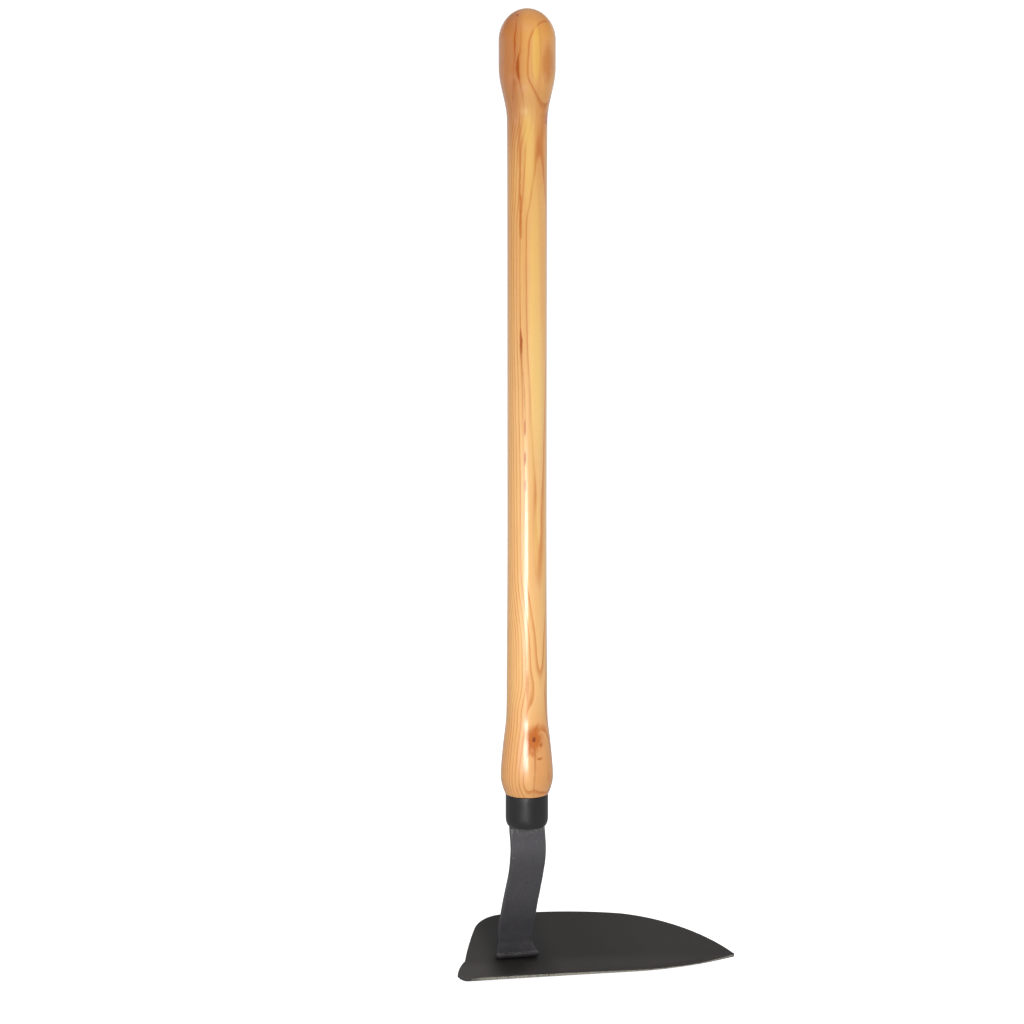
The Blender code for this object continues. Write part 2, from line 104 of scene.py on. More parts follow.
def direction(azimuth, elevation):
    """Unit vector from the object towards a viewer at that azimuth and elevation."""
    level = cos(elevation)
    return Vector((sin(azimuth) * level, -cos(azimuth) * level, sin(elevation)))


def add_object(name, data):
    obj = bpy.data.objects.new(name, data)
    bpy.context.scene.collection.objects.link(obj)
    return obj


def to_mesh(name, bm):
    mesh = bpy.data.meshes.new(name)
    bm.to_mesh(mesh)
    bm.free()
    return mesh


def make_camera():
    data = bpy.data.cameras.new("camera")
    data.lens = CAMERA_LENS
    data.sensor_width = SENSOR_WIDTH
    data.clip_start = 0.1
    data.clip_end = 100.0
    camera = add_object("camera", data)
    back = direction(CAMERA_AZIMUTH, CAMERA_ELEVATION)
    camera.location = CAMERA_TARGET + back * CAMERA_DISTANCE
    camera.rotation_euler = (-back).to_track_quat("-Z", "Y").to_euler()
    bpy.context.scene.camera = camera


def softbox(name, turn, height, distance, size, power, mirrored=True, aim=0.30, spread=180.0):
    """An area light turned from the camera's azimuth, at a height, that faces the handle."""
    data = bpy.data.lights.new(name, "AREA")
    data.shape = "RECTANGLE"
    data.size, data.size_y = size
    data.energy = power
    data.spread = radians(spread)
    lamp = add_object(name, data)
    target = Vector((0.0, AXIS_Y, aim))
    level = direction(CAMERA_AZIMUTH + radians(turn), 0.0) * distance
    lamp.location = Vector((target.x + level.x, target.y + level.y, height))
    lamp.rotation_euler = (target - lamp.location).to_track_quat("-Z", "Y").to_euler()
    lamp.visible_camera = False
    lamp.visible_glossy = mirrored
    return lamp


def toward_viewer(x, y):
    """How far a place lies towards the viewer's side of the hoe, as a Value."""
    return x * sin(CAMERA_AZIMUTH) - y * cos(CAMERA_AZIMUTH)


def make_world():
    """A room with a pale back wall and a dim viewer's side. The background itself is white."""
    world = bpy.data.worlds.new("studio")
    world.use_nodes = True
    bpy.context.scene.world = world
    tree = world.node_tree
    tree.nodes.clear()
    x, y, z = axes_of(tree, add_node(tree, "TexCoord").outputs["Generated"])
    level = toward_viewer(x, y).curve(ROOM_LIGHT)
    level = level * z.between(0.0, ROOM_FADED_HEIGHT, 1.0, ROOM_FADED_SHARE)
    level = level + z.curve(ROOM_TOP_LIGHT)
    room = add_node(tree, "Background", {"Strength": level})
    white = add_node(tree, "Background")
    seen = add_node(tree, "LightPath").outputs["Is Camera Ray"]
    mix = add_node(tree, "MixShader", {0: seen, 1: room.outputs[0], 2: white.outputs[0]})
    add_node(tree, "OutputWorld", {0: mix.outputs[0]})


def floor_material():
    """Plain and pale. It is white to the camera, and glows behind the hoe in reflections."""
    mat = bpy.data.materials.new("pale_floor")
    mat.use_nodes = True
    tree = mat.node_tree
    tree.nodes.clear()
    x, y = axes_of(tree, add_node(tree, "TexCoord").outputs["Object"])[:2]
    rays = add_node(tree, "LightPath").outputs
    camera_ray = Value(tree, rays["Is Camera Ray"])
    mirrored_ray = Value(tree, rays["Is Glossy Ray"])
    behind = toward_viewer(x, y).between(*FLOOR_GLOW_FROM, FLOOR_GLOW, 0.0)
    level = camera_ray + mirrored_ray * behind
    paint = add_node(tree, "BsdfDiffuse", {"Color": FLOOR_COLOUR})
    glow = add_node(tree, "Emission", {"Color": FLOOR_LIGHT, "Strength": level})
    both = add_node(tree, "AddShader", {0: paint.outputs[0], 1: glow.outputs[0]})
    add_node(tree, "OutputMaterial", {"Surface": both.outputs[0]})
    return mat


def make_floor():
    """A wide pale floor, bright enough to read as white round the object."""
    bm = bmesh.new()
    bmesh.ops.create_grid(bm, x_segments=1, y_segments=1, size=FLOOR_REACH)
    floor = add_object("floor", to_mesh("floor", bm))
    floor.data.materials.append(floor_material())
    floor.location = (0.0, 0.0, FLOOR_Z - FLOOR_GAP)


def make_studio():
    bpy.context.scene.view_settings.view_transform = "Standard"
    make_world()
    make_floor()
    softbox("key", 20.0, 0.75, 2.4, (1.2, 1.0), 20.0, mirrored=False)
    softbox("left_fill", -66.0, 0.60, 2.4, (0.8, 1.2), 18.0, mirrored=False)
    softbox("right_fill", 78.0, 0.60, 2.4, (0.8, 1.2), 11.0, mirrored=False)
    softbox("low_strip", -4.0, 0.105, 0.80, (0.30, 0.10), 0.11, aim=0.23, spread=50.0)
    softbox("low_panel", -20.0, 0.105, 0.85, (0.80, 0.15), 0.16, aim=0.23, spread=60.0)
    softbox("low_card", -3.0, 0.020, 0.55, (0.34, 0.06), 0.036, aim=0.115)
    over = softbox("floor_light", 0.0, 1.30, 0.60, (0.9, 0.8), 5.0, mirrored=False)
    over.rotation_euler = (0.0, 0.0, CAMERA_AZIMUTH)


# --- materials ---


def value_from(tree, kind, output, inputs=None, **settings):
    return Value(tree, add_node(tree, kind, inputs, **settings).outputs[output])


def plug(tree, value, socket):
    """Gives a socket a Value, another socket, a colour of three numbers, or a number."""
    if isinstance(value, Value):
        value = value.socket
    if isinstance(value, bpy.types.NodeSocket):
        tree.links.new(value, socket)
    elif isinstance(value, tuple):
        socket.default_value = (*value, 1.0)
    else:
        socket.default_value = value


def add_node(tree, kind, inputs=None, **settings):
    """A new shader node with its own settings, and with inputs by name or number."""
    node = tree.nodes.new("ShaderNode" + kind)
    for name, value in settings.items():
        setattr(node, name, value)
    for name, value in (inputs or {}).items():
        plug(tree, value, node.inputs[name])
    return node


class Value:
    """A number in a node tree, with ordinary arithmetic."""

    def __init__(self, tree, socket):
        self.tree = tree
        self.socket = socket

    def math(self, operation, *others):
        inputs = dict(enumerate((self, *others)))
        return value_from(self.tree, "Math", 0, inputs, operation=operation)

    def __add__(self, other):
        return self.math("ADD", other)

    def __sub__(self, other):
        return self.math("SUBTRACT", other)

    def __mul__(self, other):
        return self.math("MULTIPLY", other)

    def between(self, low, high, start=0.0, end=1.0):
        """Runs smoothly from start to end as this number goes from low to high."""
        inputs = {"Value": self, "From Min": low, "From Max": high, "To Min": start, "To Max": end}
        smooth = "SMOOTHSTEP"
        return value_from(self.tree, "MapRange", "Result", inputs, interpolation_type=smooth)

    def curve(self, points):
        """A smooth curve through (place, value) points, level beyond both its ends."""
        low = points[0][0]
        high = points[-1][0]
        bottom = min(value for place, value in points)
        top = max(value for place, value in points)
        place = (self - low) * (1.0 / (high - low))
        place.socket.node.use_clamp = True
        node = add_node(self.tree, "FloatCurve", {"Value": place})
        line = node.mapping.curves[0]
        while len(line.points) < len(points):
            line.points.new(0.5, 0.5)
        for point, (p, v) in zip(line.points, points):
            point.location = ((p - low) / (high - low), (v - bottom) / (top - bottom))
        node.mapping.update()
        return Value(self.tree, node.outputs[0]) * (top - bottom) + bottom


def axes_of(tree, vector):
    split = add_node(tree, "SeparateXYZ", {0: vector})
    return [Value(tree, socket) for socket in split.outputs]


class Paint:
    """A material with one Principled shader. Its colour is built up in layers."""

    def __init__(self, name):
        self.material = bpy.data.materials.new(name)
        self.material.use_nodes = True
        self.tree = self.material.node_tree
        self.shader = self.tree.nodes["Principled BSDF"]
        place = add_node(self.tree, "TexCoord").outputs["Object"]
        scaled = add_node(self.tree, "VectorMath", {0: place, "Scale": MM}, operation="SCALE")
        self.place = scaled.outputs[0]
        self.colour = None

    def axes(self):
        return axes_of(self.tree, self.place)

    def vector(self, *parts):
        return add_node(self.tree, "CombineXYZ", dict(enumerate(parts))).outputs[0]

    def noise(self, scale, detail=2.0, roughness=0.5, vector=None):
        """Noise that varies about zero, between about -0.5 and 0.5."""
        inputs = {"Vector": vector or self.place, "Scale": scale, "Detail": detail}
        inputs["Roughness"] = roughness
        return value_from(self.tree, "TexNoise", "Fac", inputs) - 0.5

    def dots(self, vector, scale, low, high):
        """Small scattered spots: 1 in a spot and 0 elsewhere."""
        inputs = {"Scale": scale, "Vector": vector}
        distance = value_from(self.tree, "TexVoronoi", "Distance", inputs)
        return distance.between(low, high, 1.0, 0.0)

    def attribute(self, name):
        return value_from(self.tree, "Attribute", "Fac", attribute_name=name)

    def mix(self, base, other, amount, mode="MIX"):
        """Starts the colour again as a mix of two."""
        inputs = {"Factor": amount, 6: base, 7: other}
        settings = {"data_type": "RGBA", "blend_type": mode, "clamp_factor": True}
        self.colour = add_node(self.tree, "Mix", inputs, **settings).outputs[2]

    def over(self, other, amount, mode="MIX"):
        """Lays another colour over the colour so far."""
        self.mix(self.colour, other, amount, mode)

    def tint(self, other, amount):
        """Darkens the colour so far towards its product with another."""
        self.over(other, amount, "MULTIPLY")

    def finish(self, height, depth, **values):
        """Sets the colour, a bump of a depth in metres from a height of about 0..1, and shader
        inputs by name, such as coat_weight=..., with _ for a space."""
        names = {socket.name.lower().replace(" ", "_"): socket for socket in self.shader.inputs}
        bump = add_node(self.tree, "Bump", {"Distance": depth, "Strength": 1.0, "Height": height})
        values.update(base_color=self.colour, normal=bump.outputs[0])
        for name, value in values.items():
            plug(self.tree, value, names[name])
        return self.material


# Wood: directions across the grain. The growth rings face 38 degrees right of the camera,
# and turn a little further round in the knob.
RINGS_FACE = CAMERA_AZIMUTH + radians(38.0)
KNOB_TURN = radians(14.0)
PITH_DISTANCE = 90.0
# Depth in the wood where the rings grow wider, and again, and the ring widths before, between
# and beyond.
WIDER_FROM = 13.5
WIDEST_FROM = 16.5
RING_WIDTHS = (2.2, 3.0, 9.5)
EARLY_WOOD = (0.86, 0.500, 0.190)
LATE_WOOD = (0.68, 0.260, 0.062)
YELLOW_WOOD = (0.93, 0.630, 0.200)

# How far the grain runs out of line at each height, as (height, shift) in millimetres.
GRAIN_RUNOUT = (
    (120, -0.7), (180, -0.5), (218, -0.1), (262, 1.4), (309, 2.8),
    (355, 3.1), (412, 4), (475, 5.2), (530, 5.2), (546, 4.2),
    (560, 3.4), (582, 2.6), (596, 2.2), (608, 1.7), (616, 0.7),
    (622, 0.65), (629, 1), (635, 1.85), (643, 2.4), (654, 2.05),
    (667.5, 1.7), (674, 1.5), (682, 1.2),
)

# How far the knot in the bulb pulls the rings in at each height.
KNOT_PULL = (
    (120, -2.7), (140, -2.6), (156, -2.3), (168, -1.05), (174, -1.15),
    (181, -1.6), (190, -1.7), (208, -1.2), (219, -0.3), (228, 0),
)

# Mineral streaks and marks on the side that faces the viewer, in millimetres:
# (right of the axis, height, half width, half height, colour, strength).
BROWN = (0.44, 0.085, 0.002)
RUST = (0.58, 0.170, 0.020)
ORANGE = (0.64, 0.255, 0.050)
PLUM = (0.56, 0.170, 0.045)
DARK = (0.20, 0.030, 0.002)
STREAKS = (
    (-6.9, 678.4, 1.3, 0.8, RUST, 0.8),
    (14.3, 645.8, 4.6, 15, ORANGE, 0.6),
    (-8.4, 633, 1.3, 3, RUST, 0.45),
    (-1.4, 390.5, 0.85, 7, PLUM, 0.8),
    (-1.2, 368.5, 0.95, 6, PLUM, 0.95),
    (-1.2, 349.5, 0.8, 5, PLUM, 0.85),
    (0.2, 205, 1.3, 13, RUST, 0.5),
    (9.6, 163.5, 1.1, 1.7, RUST, 0.9),
    (9, 154, 1.9, 1.1, RUST, 0.85),
)

# Thin wandering lines up the side that faces the viewer: a colour and rows of
# (height, right of the axis, half width, strength), in millimetres.
VEINS = (
    (RUST, (612, -2.2, 0.4, 0), (622, -2.8, 0.7, 0.55), (630, -4.2, 0.85, 0.75),
     (640, -6, 1.2, 0.9), (650, -5.8, 1.1, 0.8), (658, -4.6, 0.8, 0.65), (668.5, -4.3, 0.7, 0.6),
     (674, -4.7, 0.4, 0)),
    (BROWN, (634, -5.2, 0.4, 0), (638.5, -6, 0.95, 1.1), (643, -6.6, 1.3, 1.4), (648, -6.5, 1, 1.2),
     (652, -6, 0.6, 0.7), (656, -5.2, 0.3, 0)),
    (RUST, (616, -6.8, 0.4, 0), (626, -7.8, 0.75, 0.6), (632, -9, 0.9, 0.75),
     (640, -10.3, 0.7, 0.65), (650, -9.8, 0.6, 0.35), (660, -9, 0.65, 0.75), (667, -8.3, 0.7, 0.8),
     (674, -7.4, 0.5, 0.4), (678, -7, 0.3, 0)),
    (BROWN, (619, -10, 0.25, 0), (628, -9.6, 0.42, 0.75), (640, -9.2, 0.36, 0.4),
     (652, -8.7, 0.38, 0.7), (661, -8.4, 0.46, 1), (668, -8, 0.42, 0.95), (674, -7.4, 0.36, 0.6),
     (678, -7, 0.25, 0)),
    (RUST, (523, -4.5, 0.4, 0), (530, -4.5, 1, 0.95), (540, -4.5, 1.05, 0.95), (566, -5, 0.85, 0.6),
     (600, -5.2, 0.7, 0.5), (612, -5, 0.5, 0)),
    (BROWN, (380, -1, 0.4, 0), (405, -1.6, 0.7, 0.35), (425, -2.7, 0.75, 0.35),
     (441, -3.9, 0.8, 0.5), (446, -4.1, 0.95, 1), (455, -4.2, 0.85, 1), (461, -4.5, 0.3, 0)),
    (BROWN, (124, 4.8, 0.6, 0.3), (140, 5.2, 0.7, 0.4), (152, 5.7, 0.8, 0.5), (160, 5.4, 1, 0.7),
     (168, 4.6, 1.3, 0.9), (174, 6, 1, 0.7), (179, 8.2, 0.6, 0)),
)

# Broad pale bands, paler wood that also carries a painted sheen highlight, as (right of the axis,
# height, half width, half height, strength).
PALE_SHEEN_BANDS = (
    (6, 654, 2.9, 23, 1.4), (3.6, 582, 2, 28, 0.5), (0.3, 602, 4.6, 16, 0.6),
    (0.8, 575, 2.6, 40, 0.6), (5, 480, 4.2, 95, 0.7), (8.5, 420, 3.6, 60, 0.5),
    (3.8, 380, 2.2, 40, 0.35), (6.6, 313, 2.1, 28, 0.5),
)


class Wood(Paint):
    """Lacquered ash: growth rings in depth, fibres, pores, knots and mineral streaks."""

    def build(self):
        x, y, z = self.axes()
        y = y - AXIS_Y * MM
        self.x, self.y, self.z = x, y, z
        self.right = x * cos(CAMERA_AZIMUTH) + y * sin(CAMERA_AZIMUTH)
        self.front = toward_viewer(x, y)
        self.facing = self.front.between(-2.0, 2.0)
        ring = self.rings()
        self.mix(EARLY_WOOD, LATE_WOOD, self.latewood(ring))
        self.fibres(ring)
        self.bands()
        self.streaks()
        self.tones_and_painted_shade()
        self.veins()
        self.knot(self.right - 4.9, 168.0, 4.0, 6.2, 2.1, DARK, self.facing)
        # The leaf-shaped spot at the right of the grip, under the knob.
        right_side = self.right.between(6.0, 9.0)
        self.knot(self.front - 3.2, 606.5, 6.2, 9.8, 0.8, BROWN, right_side)
        return self.finish(
            self.pores(ring) * -1.0 + self.noise(0.22) * 0.6,
            0.00004,
            roughness=self.noise(0.09, 3.0) * 0.10 + 0.46,
            coat_weight=1.0,
            coat_roughness=0.15,
            coat_ior=1.55,
            specular_ior_level=0.35,
        )

    def grain(self, stretch, scale, detail=2.0, roughness=0.5):
        """Noise drawn out along the handle, as its height counts only for a share."""
        drawn_out = self.vector(self.x, self.y, self.z * stretch)
        return self.noise(scale, detail, roughness, drawn_out)

    def knot(self, across, height, width, tall, spread, heart, there):
        """A knot with a rusty halo; across is how far to one side of its middle a place is."""
        ripple = self.noise(0.35, 3.0) * 0.9
        reach = self.oval(across, height, width, tall).math("SQRT") + ripple
        self.over((0.56, 0.145, 0.016), reach.between(0.3, spread, 1.3, 0.0) * there * 0.95)
        self.over(heart, reach.between(0.12, 0.45, 0.90, 0.0) * there)

    def rings(self):
        """Ring count at a point: whole numbers are the sharp ends of the dark latewood."""
        face = self.z.between(585.0, 608.0, RINGS_FACE, RINGS_FACE + KNOB_TURN)
        sine = face.math("SINE")
        cosine = face.math("COSINE")
        out = self.x * sine - self.y * cosine
        side = self.x * cosine + self.y * sine
        depth = out + side * side * (0.5 / PITH_DISTANCE)
        shift = self.z.curve(GRAIN_RUNOUT)
        pull = self.z.curve(KNOT_PULL)
        beside = (self.right - 8.5).math("ABSOLUTE").between(2.0, 10.0, 1.0, 0.0) * self.facing
        slow = self.grain(0.22, 0.055) * 0.5
        fine = self.grain(0.12, 0.30) * 0.25
        ridge = (self.right - 9.3).math("ABSOLUTE") * self.z.between(235.0, 285.0, 0.22, 0.0)
        ridge = ridge * self.z.between(185.0, 210.0) * self.facing
        depth = depth + shift + slow + fine + pull * beside - ridge
        narrow, middle, broad = [1.0 / width for width in RING_WIDTHS]
        inner = (depth - WIDER_FROM).math("MINIMUM", 0.0) * narrow
        wider = (depth - WIDER_FROM).math("MAXIMUM", 0.0)
        wider = wider.math("MINIMUM", WIDEST_FROM - WIDER_FROM) * middle
        return inner + wider + (depth - WIDEST_FROM).math("MAXIMUM", 0.0) * broad

    def latewood(self, ring):
        """0 in pale earlywood, rising to 1 at the dark edge of each ring."""
        part = ring.math("FRACT")
        # The broad rings on the right have a thinner dark edge than the narrow ones.
        broad = ring.between(-0.05, 0.05) * self.z.between(588.0, 612.0, 1.0, 0.0)
        rise = part.between(0.45, 0.93) * (broad * -1.0 + 1.0) + part.between(0.66, 0.96) * broad
        fall = part.between(0.95, 1.0, 1.0, 0.0)
        uneven = self.grain(0.05, 0.5) + 0.90
        clear = self.z.between(595.0, 620.0, 1.0, 0.07).math("MAXIMUM", ring.between(0.35, 0.85))
        return (rise * 0.85 * uneven + part * 0.22) * clear * (fall * 0.8 + 0.2)

    def fibres(self, ring):
        fine = self.grain(0.035, 1.6, 4.0, 0.6)
        self.over((0.63, 0.30, 0.09), (fine * 1.5).between(0.05, 0.75) * 0.55)
        self.over((0.95, 0.66, 0.27), (fine * -1.3).between(0.05, 0.70) * 0.45)
        self.over((0.93, 0.60, 0.21), self.grain(0.03, 0.28).between(0.02, 0.30) * 0.45)
        self.over((0.36, 0.15, 0.045), self.pores(ring) * 0.25)

    def pores(self, ring):
        """Short dark dashes in the earlywood."""
        dash = self.dots(self.vector(self.x, self.y, self.z * 0.10), 1.35, 0.10, 0.26)
        return dash * ring.math("FRACT").between(0.05, 0.45, 1.0, 0.0)

    def tones_and_painted_shade(self):
        """Broad changes of tone: a ruddy knob and bulb and an orange flank below the knob, with
        painted shade towards the top, on the knob's left and on its top.
        """
        # Ruddier wood and painted shade, darker towards the top as the light falls off.
        self.tint((0.96, 0.88, 0.74), self.z.between(380.0, 540.0))
        self.tint((0.96, 0.88, 0.76), self.z.between(585.0, 650.0))
        # Painted shade on the left of the knob and of the grip under it.
        left_painted_shade = self.right.between(-9.0, 0.0, 1.0, 0.0) * self.z.between(560.0, 622.0)
        self.tint((0.76, 0.58, 0.60), left_painted_shade)
        # Painted shade on the knob's top.
        self.tint((0.85, 0.74, 0.54), self.z.between(662.0, 680.0))
        flank = self.right.between(4.0, 7.5) * self.z.between(540.0, 585.0)
        self.tint((0.92, 0.80, 0.66), flank * self.z.between(610.0, 640.0, 1.0, 0.35))
        bulb = self.z.between(160.0, 205.0, 1.0, 0.0)
        self.tint((0.93, 0.83, 0.78), bulb)
        self.tint((0.94, 0.84, 0.74), bulb * self.right.between(1.0, 8.0))

    def oval(self, across, height, wide, tall):
        """1 at the rim of an upright oval, and less inside it."""
        a = across * (1.0 / wide)
        b = (self.z - height) * (1.0 / tall)
        return a * a + b * b

    def bands(self):
        # Paler yellow wood with a painted sheen highlight on the side that faces the viewer.
        for right, height, wide, tall, strength in PALE_SHEEN_BANDS:
            oval = self.oval(self.right - right, height, wide, tall)
            self.over(YELLOW_WOOD, oval.between(0.0, 1.2, strength, 0.0) * self.facing)

    def streaks(self):
        drift = self.grain(0.30, 0.16) * 1.4
        break_up = self.grain(0.35, 0.9, 3.0) * 0.9 + 1.1
        for right, height, wide, tall, tint, strength in STREAKS:
            oval = self.oval(self.right + drift - right, height, wide, tall)
            self.over(tint, oval.between(0.1, 1.25, strength, 0.0) * break_up * self.facing)

    def veins(self):
        wobble = self.grain(0.5, 0.35, 3.0) * 1.5
        broken = self.grain(0.4, 0.6, 3.0) * 1.2 + 1.0
        for tint, *rows in VEINS:
            high = rows[-1][0]
            path, width, strength = [
                self.z.curve([(row[0], row[column]) for row in rows]) for column in (1, 2, 3)
            ]
            across = (self.right + wobble - path).math("ABSOLUTE").math("DIVIDE", width)
            amount = across.between(0.1, 1.5, 1.0, 0.0) * strength * broken * self.facing
            self.over(tint, amount * self.z.between(high, high + 1.0, 1.0, 0.0))


def ferrule_material():
    paint = Paint("black_coated_steel")
    cloud = paint.noise(0.25, 3.0)
    grain = paint.noise(3.0, 2.0)
    rim = paint.attribute("wear")
    paint.mix((0.0085, 0.0082, 0.0090), (0.0150, 0.0144, 0.0152), cloud + 0.5)
    paint.over((0.16, 0.14, 0.12), rim * (grain + 0.35).between(0.3, 0.7) * 0.5)
    return paint.finish(grain, 0.00002, roughness=cloud * 0.08 + 0.36, specular_ior_level=0.62)


# Brightness of the forged neck by height in millimetres, painted shading for how light falls on it:
# dull at the foot, paler under the ferrule.
NECK_PAINTED_SHADING = (
    (-5, 0.012), (-0.8, 0.016), (0.6, 0.04), (7, 0.042), (14, 0.052),
    (36, 0.078), (55, 0.094), (70, 0.084), (86, 0.092), (100, 0.116),
)


def forged_material():
    paint = Paint("forged_steel")
    x, y, z = paint.axes()
    cloud = paint.noise(0.10, 4.0, 0.6)
    mottle = paint.noise(0.45, 4.0, 0.6)
    grain = paint.noise(2.2, 3.0)
    drawn = paint.noise(0.9, 3.0, vector=paint.vector(x, y, z * 0.08))
    # The neck's colour by height is painted light and shade.
    tone = z.curve(NECK_PAINTED_SHADING)
    paint.colour = paint.vector(tone, tone * 0.96, tone * 1.04)
    paint.over((0.085, 0.072, 0.086), cloud.between(0.0, 0.25) * 0.45)
    paint.over((0.036, 0.034, 0.038), mottle.between(0.02, 0.30) * 0.50)
    worked = z.between(60.0, 95.0)
    paint.over((0.17, 0.165, 0.16), drawn.between(0.10, 0.30) * worked * 0.55)
    specks = paint.dots(paint.place, 0.30, 0.06, 0.15) * mottle.between(-0.02, 0.12)
    paint.over((0.34, 0.33, 0.32), specks * z.between(20.0, 75.0, 0.3, 1.0))
    scuffs = mottle.between(0.06, 0.16) * grain.between(0.02, 0.16) * z.between(58.0, 80.0)
    paint.over((0.36, 0.35, 0.34), scuffs * cloud.between(-0.05, 0.08) * 0.75)
    rubbed = z.between(94.0, 100.0) * grain.between(-0.02, 0.10) * drawn.between(-0.05, 0.10)
    paint.over((0.40, 0.38, 0.36), rubbed * 0.7)
    # The wear attribute pales the strap's edges as wear, and on the toe's crest it is a painted
    # highlight.
    edge = paint.attribute("wear") * (mottle + grain + 0.55).between(0.45, 0.9)
    paint.over((0.20, 0.19, 0.185), edge * 0.28)
    height = mottle * 0.8 + grain * 0.35 + drawn * 0.4
    rough = mottle * 0.25 + 0.56
    return paint.finish(height, 0.00016, roughness=rough, metallic=0.25, specular_ior_level=0.38)


def blade_material():
    paint = Paint("black_blade_steel")
    x, y, z = paint.axes()
    cloud = paint.noise(0.035, 4.0, 0.6)
    rolled = paint.noise(0.6, 3.0, vector=paint.vector(x * 0.06, y, z))
    grain = paint.noise(2.4, 3.0)
    paint.mix((0.0132, 0.0113, 0.0105), (0.0190, 0.0163, 0.0152), cloud + 0.5)
    # Paler towards both ends and darker in the middle: painted shade where the neck and handle
    # darken the plate's reflection.
    ends = (x - 35.0).math("ABSOLUTE").between(15.0, 70.0)
    ends = ends * x.between(-30.0, 0.0, 0.80, 0.40)
    paint.over((0.036, 0.0325, 0.0305), ends)
    paint.over((0.038, 0.0345, 0.0325), rolled.between(0.10, 0.35) * 0.45)
    # The bent front band is painted paler, most at its left end: a painted highlight for the light
    # its tilt catches.
    band = paint.attribute("band") * x.between(-20.0, 40.0, 0.70, 0.36)
    paint.over((0.060, 0.0555, 0.0530), band)
    # Painted shadow on the plate in front of the toe, where the neck shades it.
    toe_painted_shadow = y.between(-42.0, -20.0) * (x - 3.0).math("ABSOLUTE").between(12.0, 30.0, 1.0, 0.0)
    paint.over((0.006, 0.0055, 0.005), toe_painted_shadow * 0.75)
    specks = paint.dots(paint.place, 0.060, 0.014, 0.034)
    paint.over((0.20, 0.19, 0.18), specks * 0.7)
    edge = paint.attribute("wear") * (grain + 0.30).between(0.15, 0.55)
    paint.over((0.13, 0.125, 0.115), edge * 0.45)
    height = grain * 0.5 + rolled * 0.35 + cloud * 0.5
    return paint.finish(height, 0.00006, roughness=cloud * 0.14 + 0.42, specular_ior_level=0.41)


def ground_material():
    """Bright ground steel with grinding lines across it and specks of the dark coat."""
    paint = Paint("ground_edge")
    x, y, z = paint.axes()
    lines = paint.noise(1.0, 3.0, 0.7, vector=paint.vector(x * 3.2, y * 0.4, z * 0.4))
    patches = paint.noise(0.75, 3.0, 0.65, vector=paint.vector(x, y * 0.6, z * 0.6))
    tone = x.between(-38.5, -27.0, 0.25, 1.0)
    bright = paint.vector(tone * 0.42, tone * 0.40, tone * 0.33)
    paint.mix(bright, (0.15, 0.142, 0.118), lines.between(-0.05, 0.22))
    paint.over((0.075, 0.070, 0.062), patches.between(0.04, 0.18) * 0.85)
    paint.over((0.62, 0.60, 0.50), patches.between(-0.10, -0.24) * 0.8)
    return paint.finish(lines + patches, 0.00008, roughness=lines * 0.3 + 0.50, metallic=0.35)


def weld_material():
    paint = Paint("weld_steel")
    cloud = paint.noise(0.35, 4.0, 0.6)
    grain = paint.noise(2.4, 3.0)
    paint.mix((0.018, 0.017, 0.017), (0.050, 0.046, 0.044), cloud + 0.5)
    paint.over((0.20, 0.19, 0.18), paint.attribute("wear") * 0.5)
    return paint.finish(cloud + grain * 0.6, 0.00014, roughness=cloud * 0.2 + 0.48, metallic=0.35)


def pin_material():
    paint = Paint("pin_steel")
    cloud = paint.noise(0.8, 3.0)
    paint.mix((0.16, 0.16, 0.165), (0.34, 0.33, 0.32), cloud + 0.5)
    return paint.finish(cloud, 0.00005, roughness=cloud * 0.2 + 0.34, metallic=1.0)


def epoxy_material():
    paint = Paint("cast_epoxy")
    cloud = paint.noise(0.4, 3.0)
    paint.mix((0.52, 0.40, 0.22), (0.66, 0.55, 0.34), cloud + 0.5)
    return paint.finish(cloud, 0.00005, roughness=cloud * 0.2 + 0.42)


# --- mesh helpers ---


def finish_piece(name, mesh, materials, sharp):
    """Makes a mesh a smooth piece, with edges over an angle sharp, that rides on the hoe's body."""
    for material in materials:
        mesh.materials.append(material)
    mesh.shade_smooth()
    mesh.set_sharp_from_angle(angle=radians(sharp))
    obj = add_object(name, mesh)
    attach(obj, "root")
    return obj


def piece(name, verts, rings, material, sharp, wear=None):
    """A piece from rings of vertices, with how worn each vertex is."""
    mesh = bpy.data.meshes.new(name)
    mesh.from_pydata([tuple(vert) for vert in verts], [], ring_faces(rings))
    if wear is not None:
        mesh.attributes.new("wear", "FLOAT", "POINT").data.foreach_set("value", wear)
    bm = bmesh.new()
    bm.from_mesh(mesh)
    bmesh.ops.recalc_face_normals(bm, faces=bm.faces)
    bm.to_mesh(mesh)
    bm.free()
    return finish_piece(name, mesh, [material], sharp)


def ring_faces(rings):
    """Faces that join rings of vertex numbers, each ring a loop; one number is a pole."""
    faces = []
    for upper, lower in zip(rings, rings[1:]):
        count = max(len(upper), len(lower))
        for index in range(count):
            nxt = (index + 1) % count
            if len(upper) == 1:
                faces.append((upper[0], lower[index], lower[nxt]))
            elif len(lower) == 1:
                faces.append((upper[index], lower[0], upper[nxt]))
            else:
                faces.append((upper[index], lower[index], lower[nxt], upper[nxt]))
    for ring in (rings[0], rings[-1]):
        if len(ring) > 2:
            faces.append(tuple(ring))
    return faces


def on_handle(radius, angle, height):
    """A place round the handle's axis, at a height over the ferrule's lower face."""
    x, y = radius * cos(angle), radius * sin(angle)
    return Vector((x, AXIS_Y + y, FERRULE_FACE_Z + height))


def lathe(profile, segments, place=on_handle):
    """Vertices and rings of a (radius, height) profile turned about an axis."""
    verts = []
    rings = []
    for radius, height in profile:
        count = segments if radius > 0.0 else 1
        rings.append(list(range(len(verts), len(verts) + count)))
        verts += [place(radius, 2.0 * pi * index / segments, height) for index in range(count)]
    return verts, rings


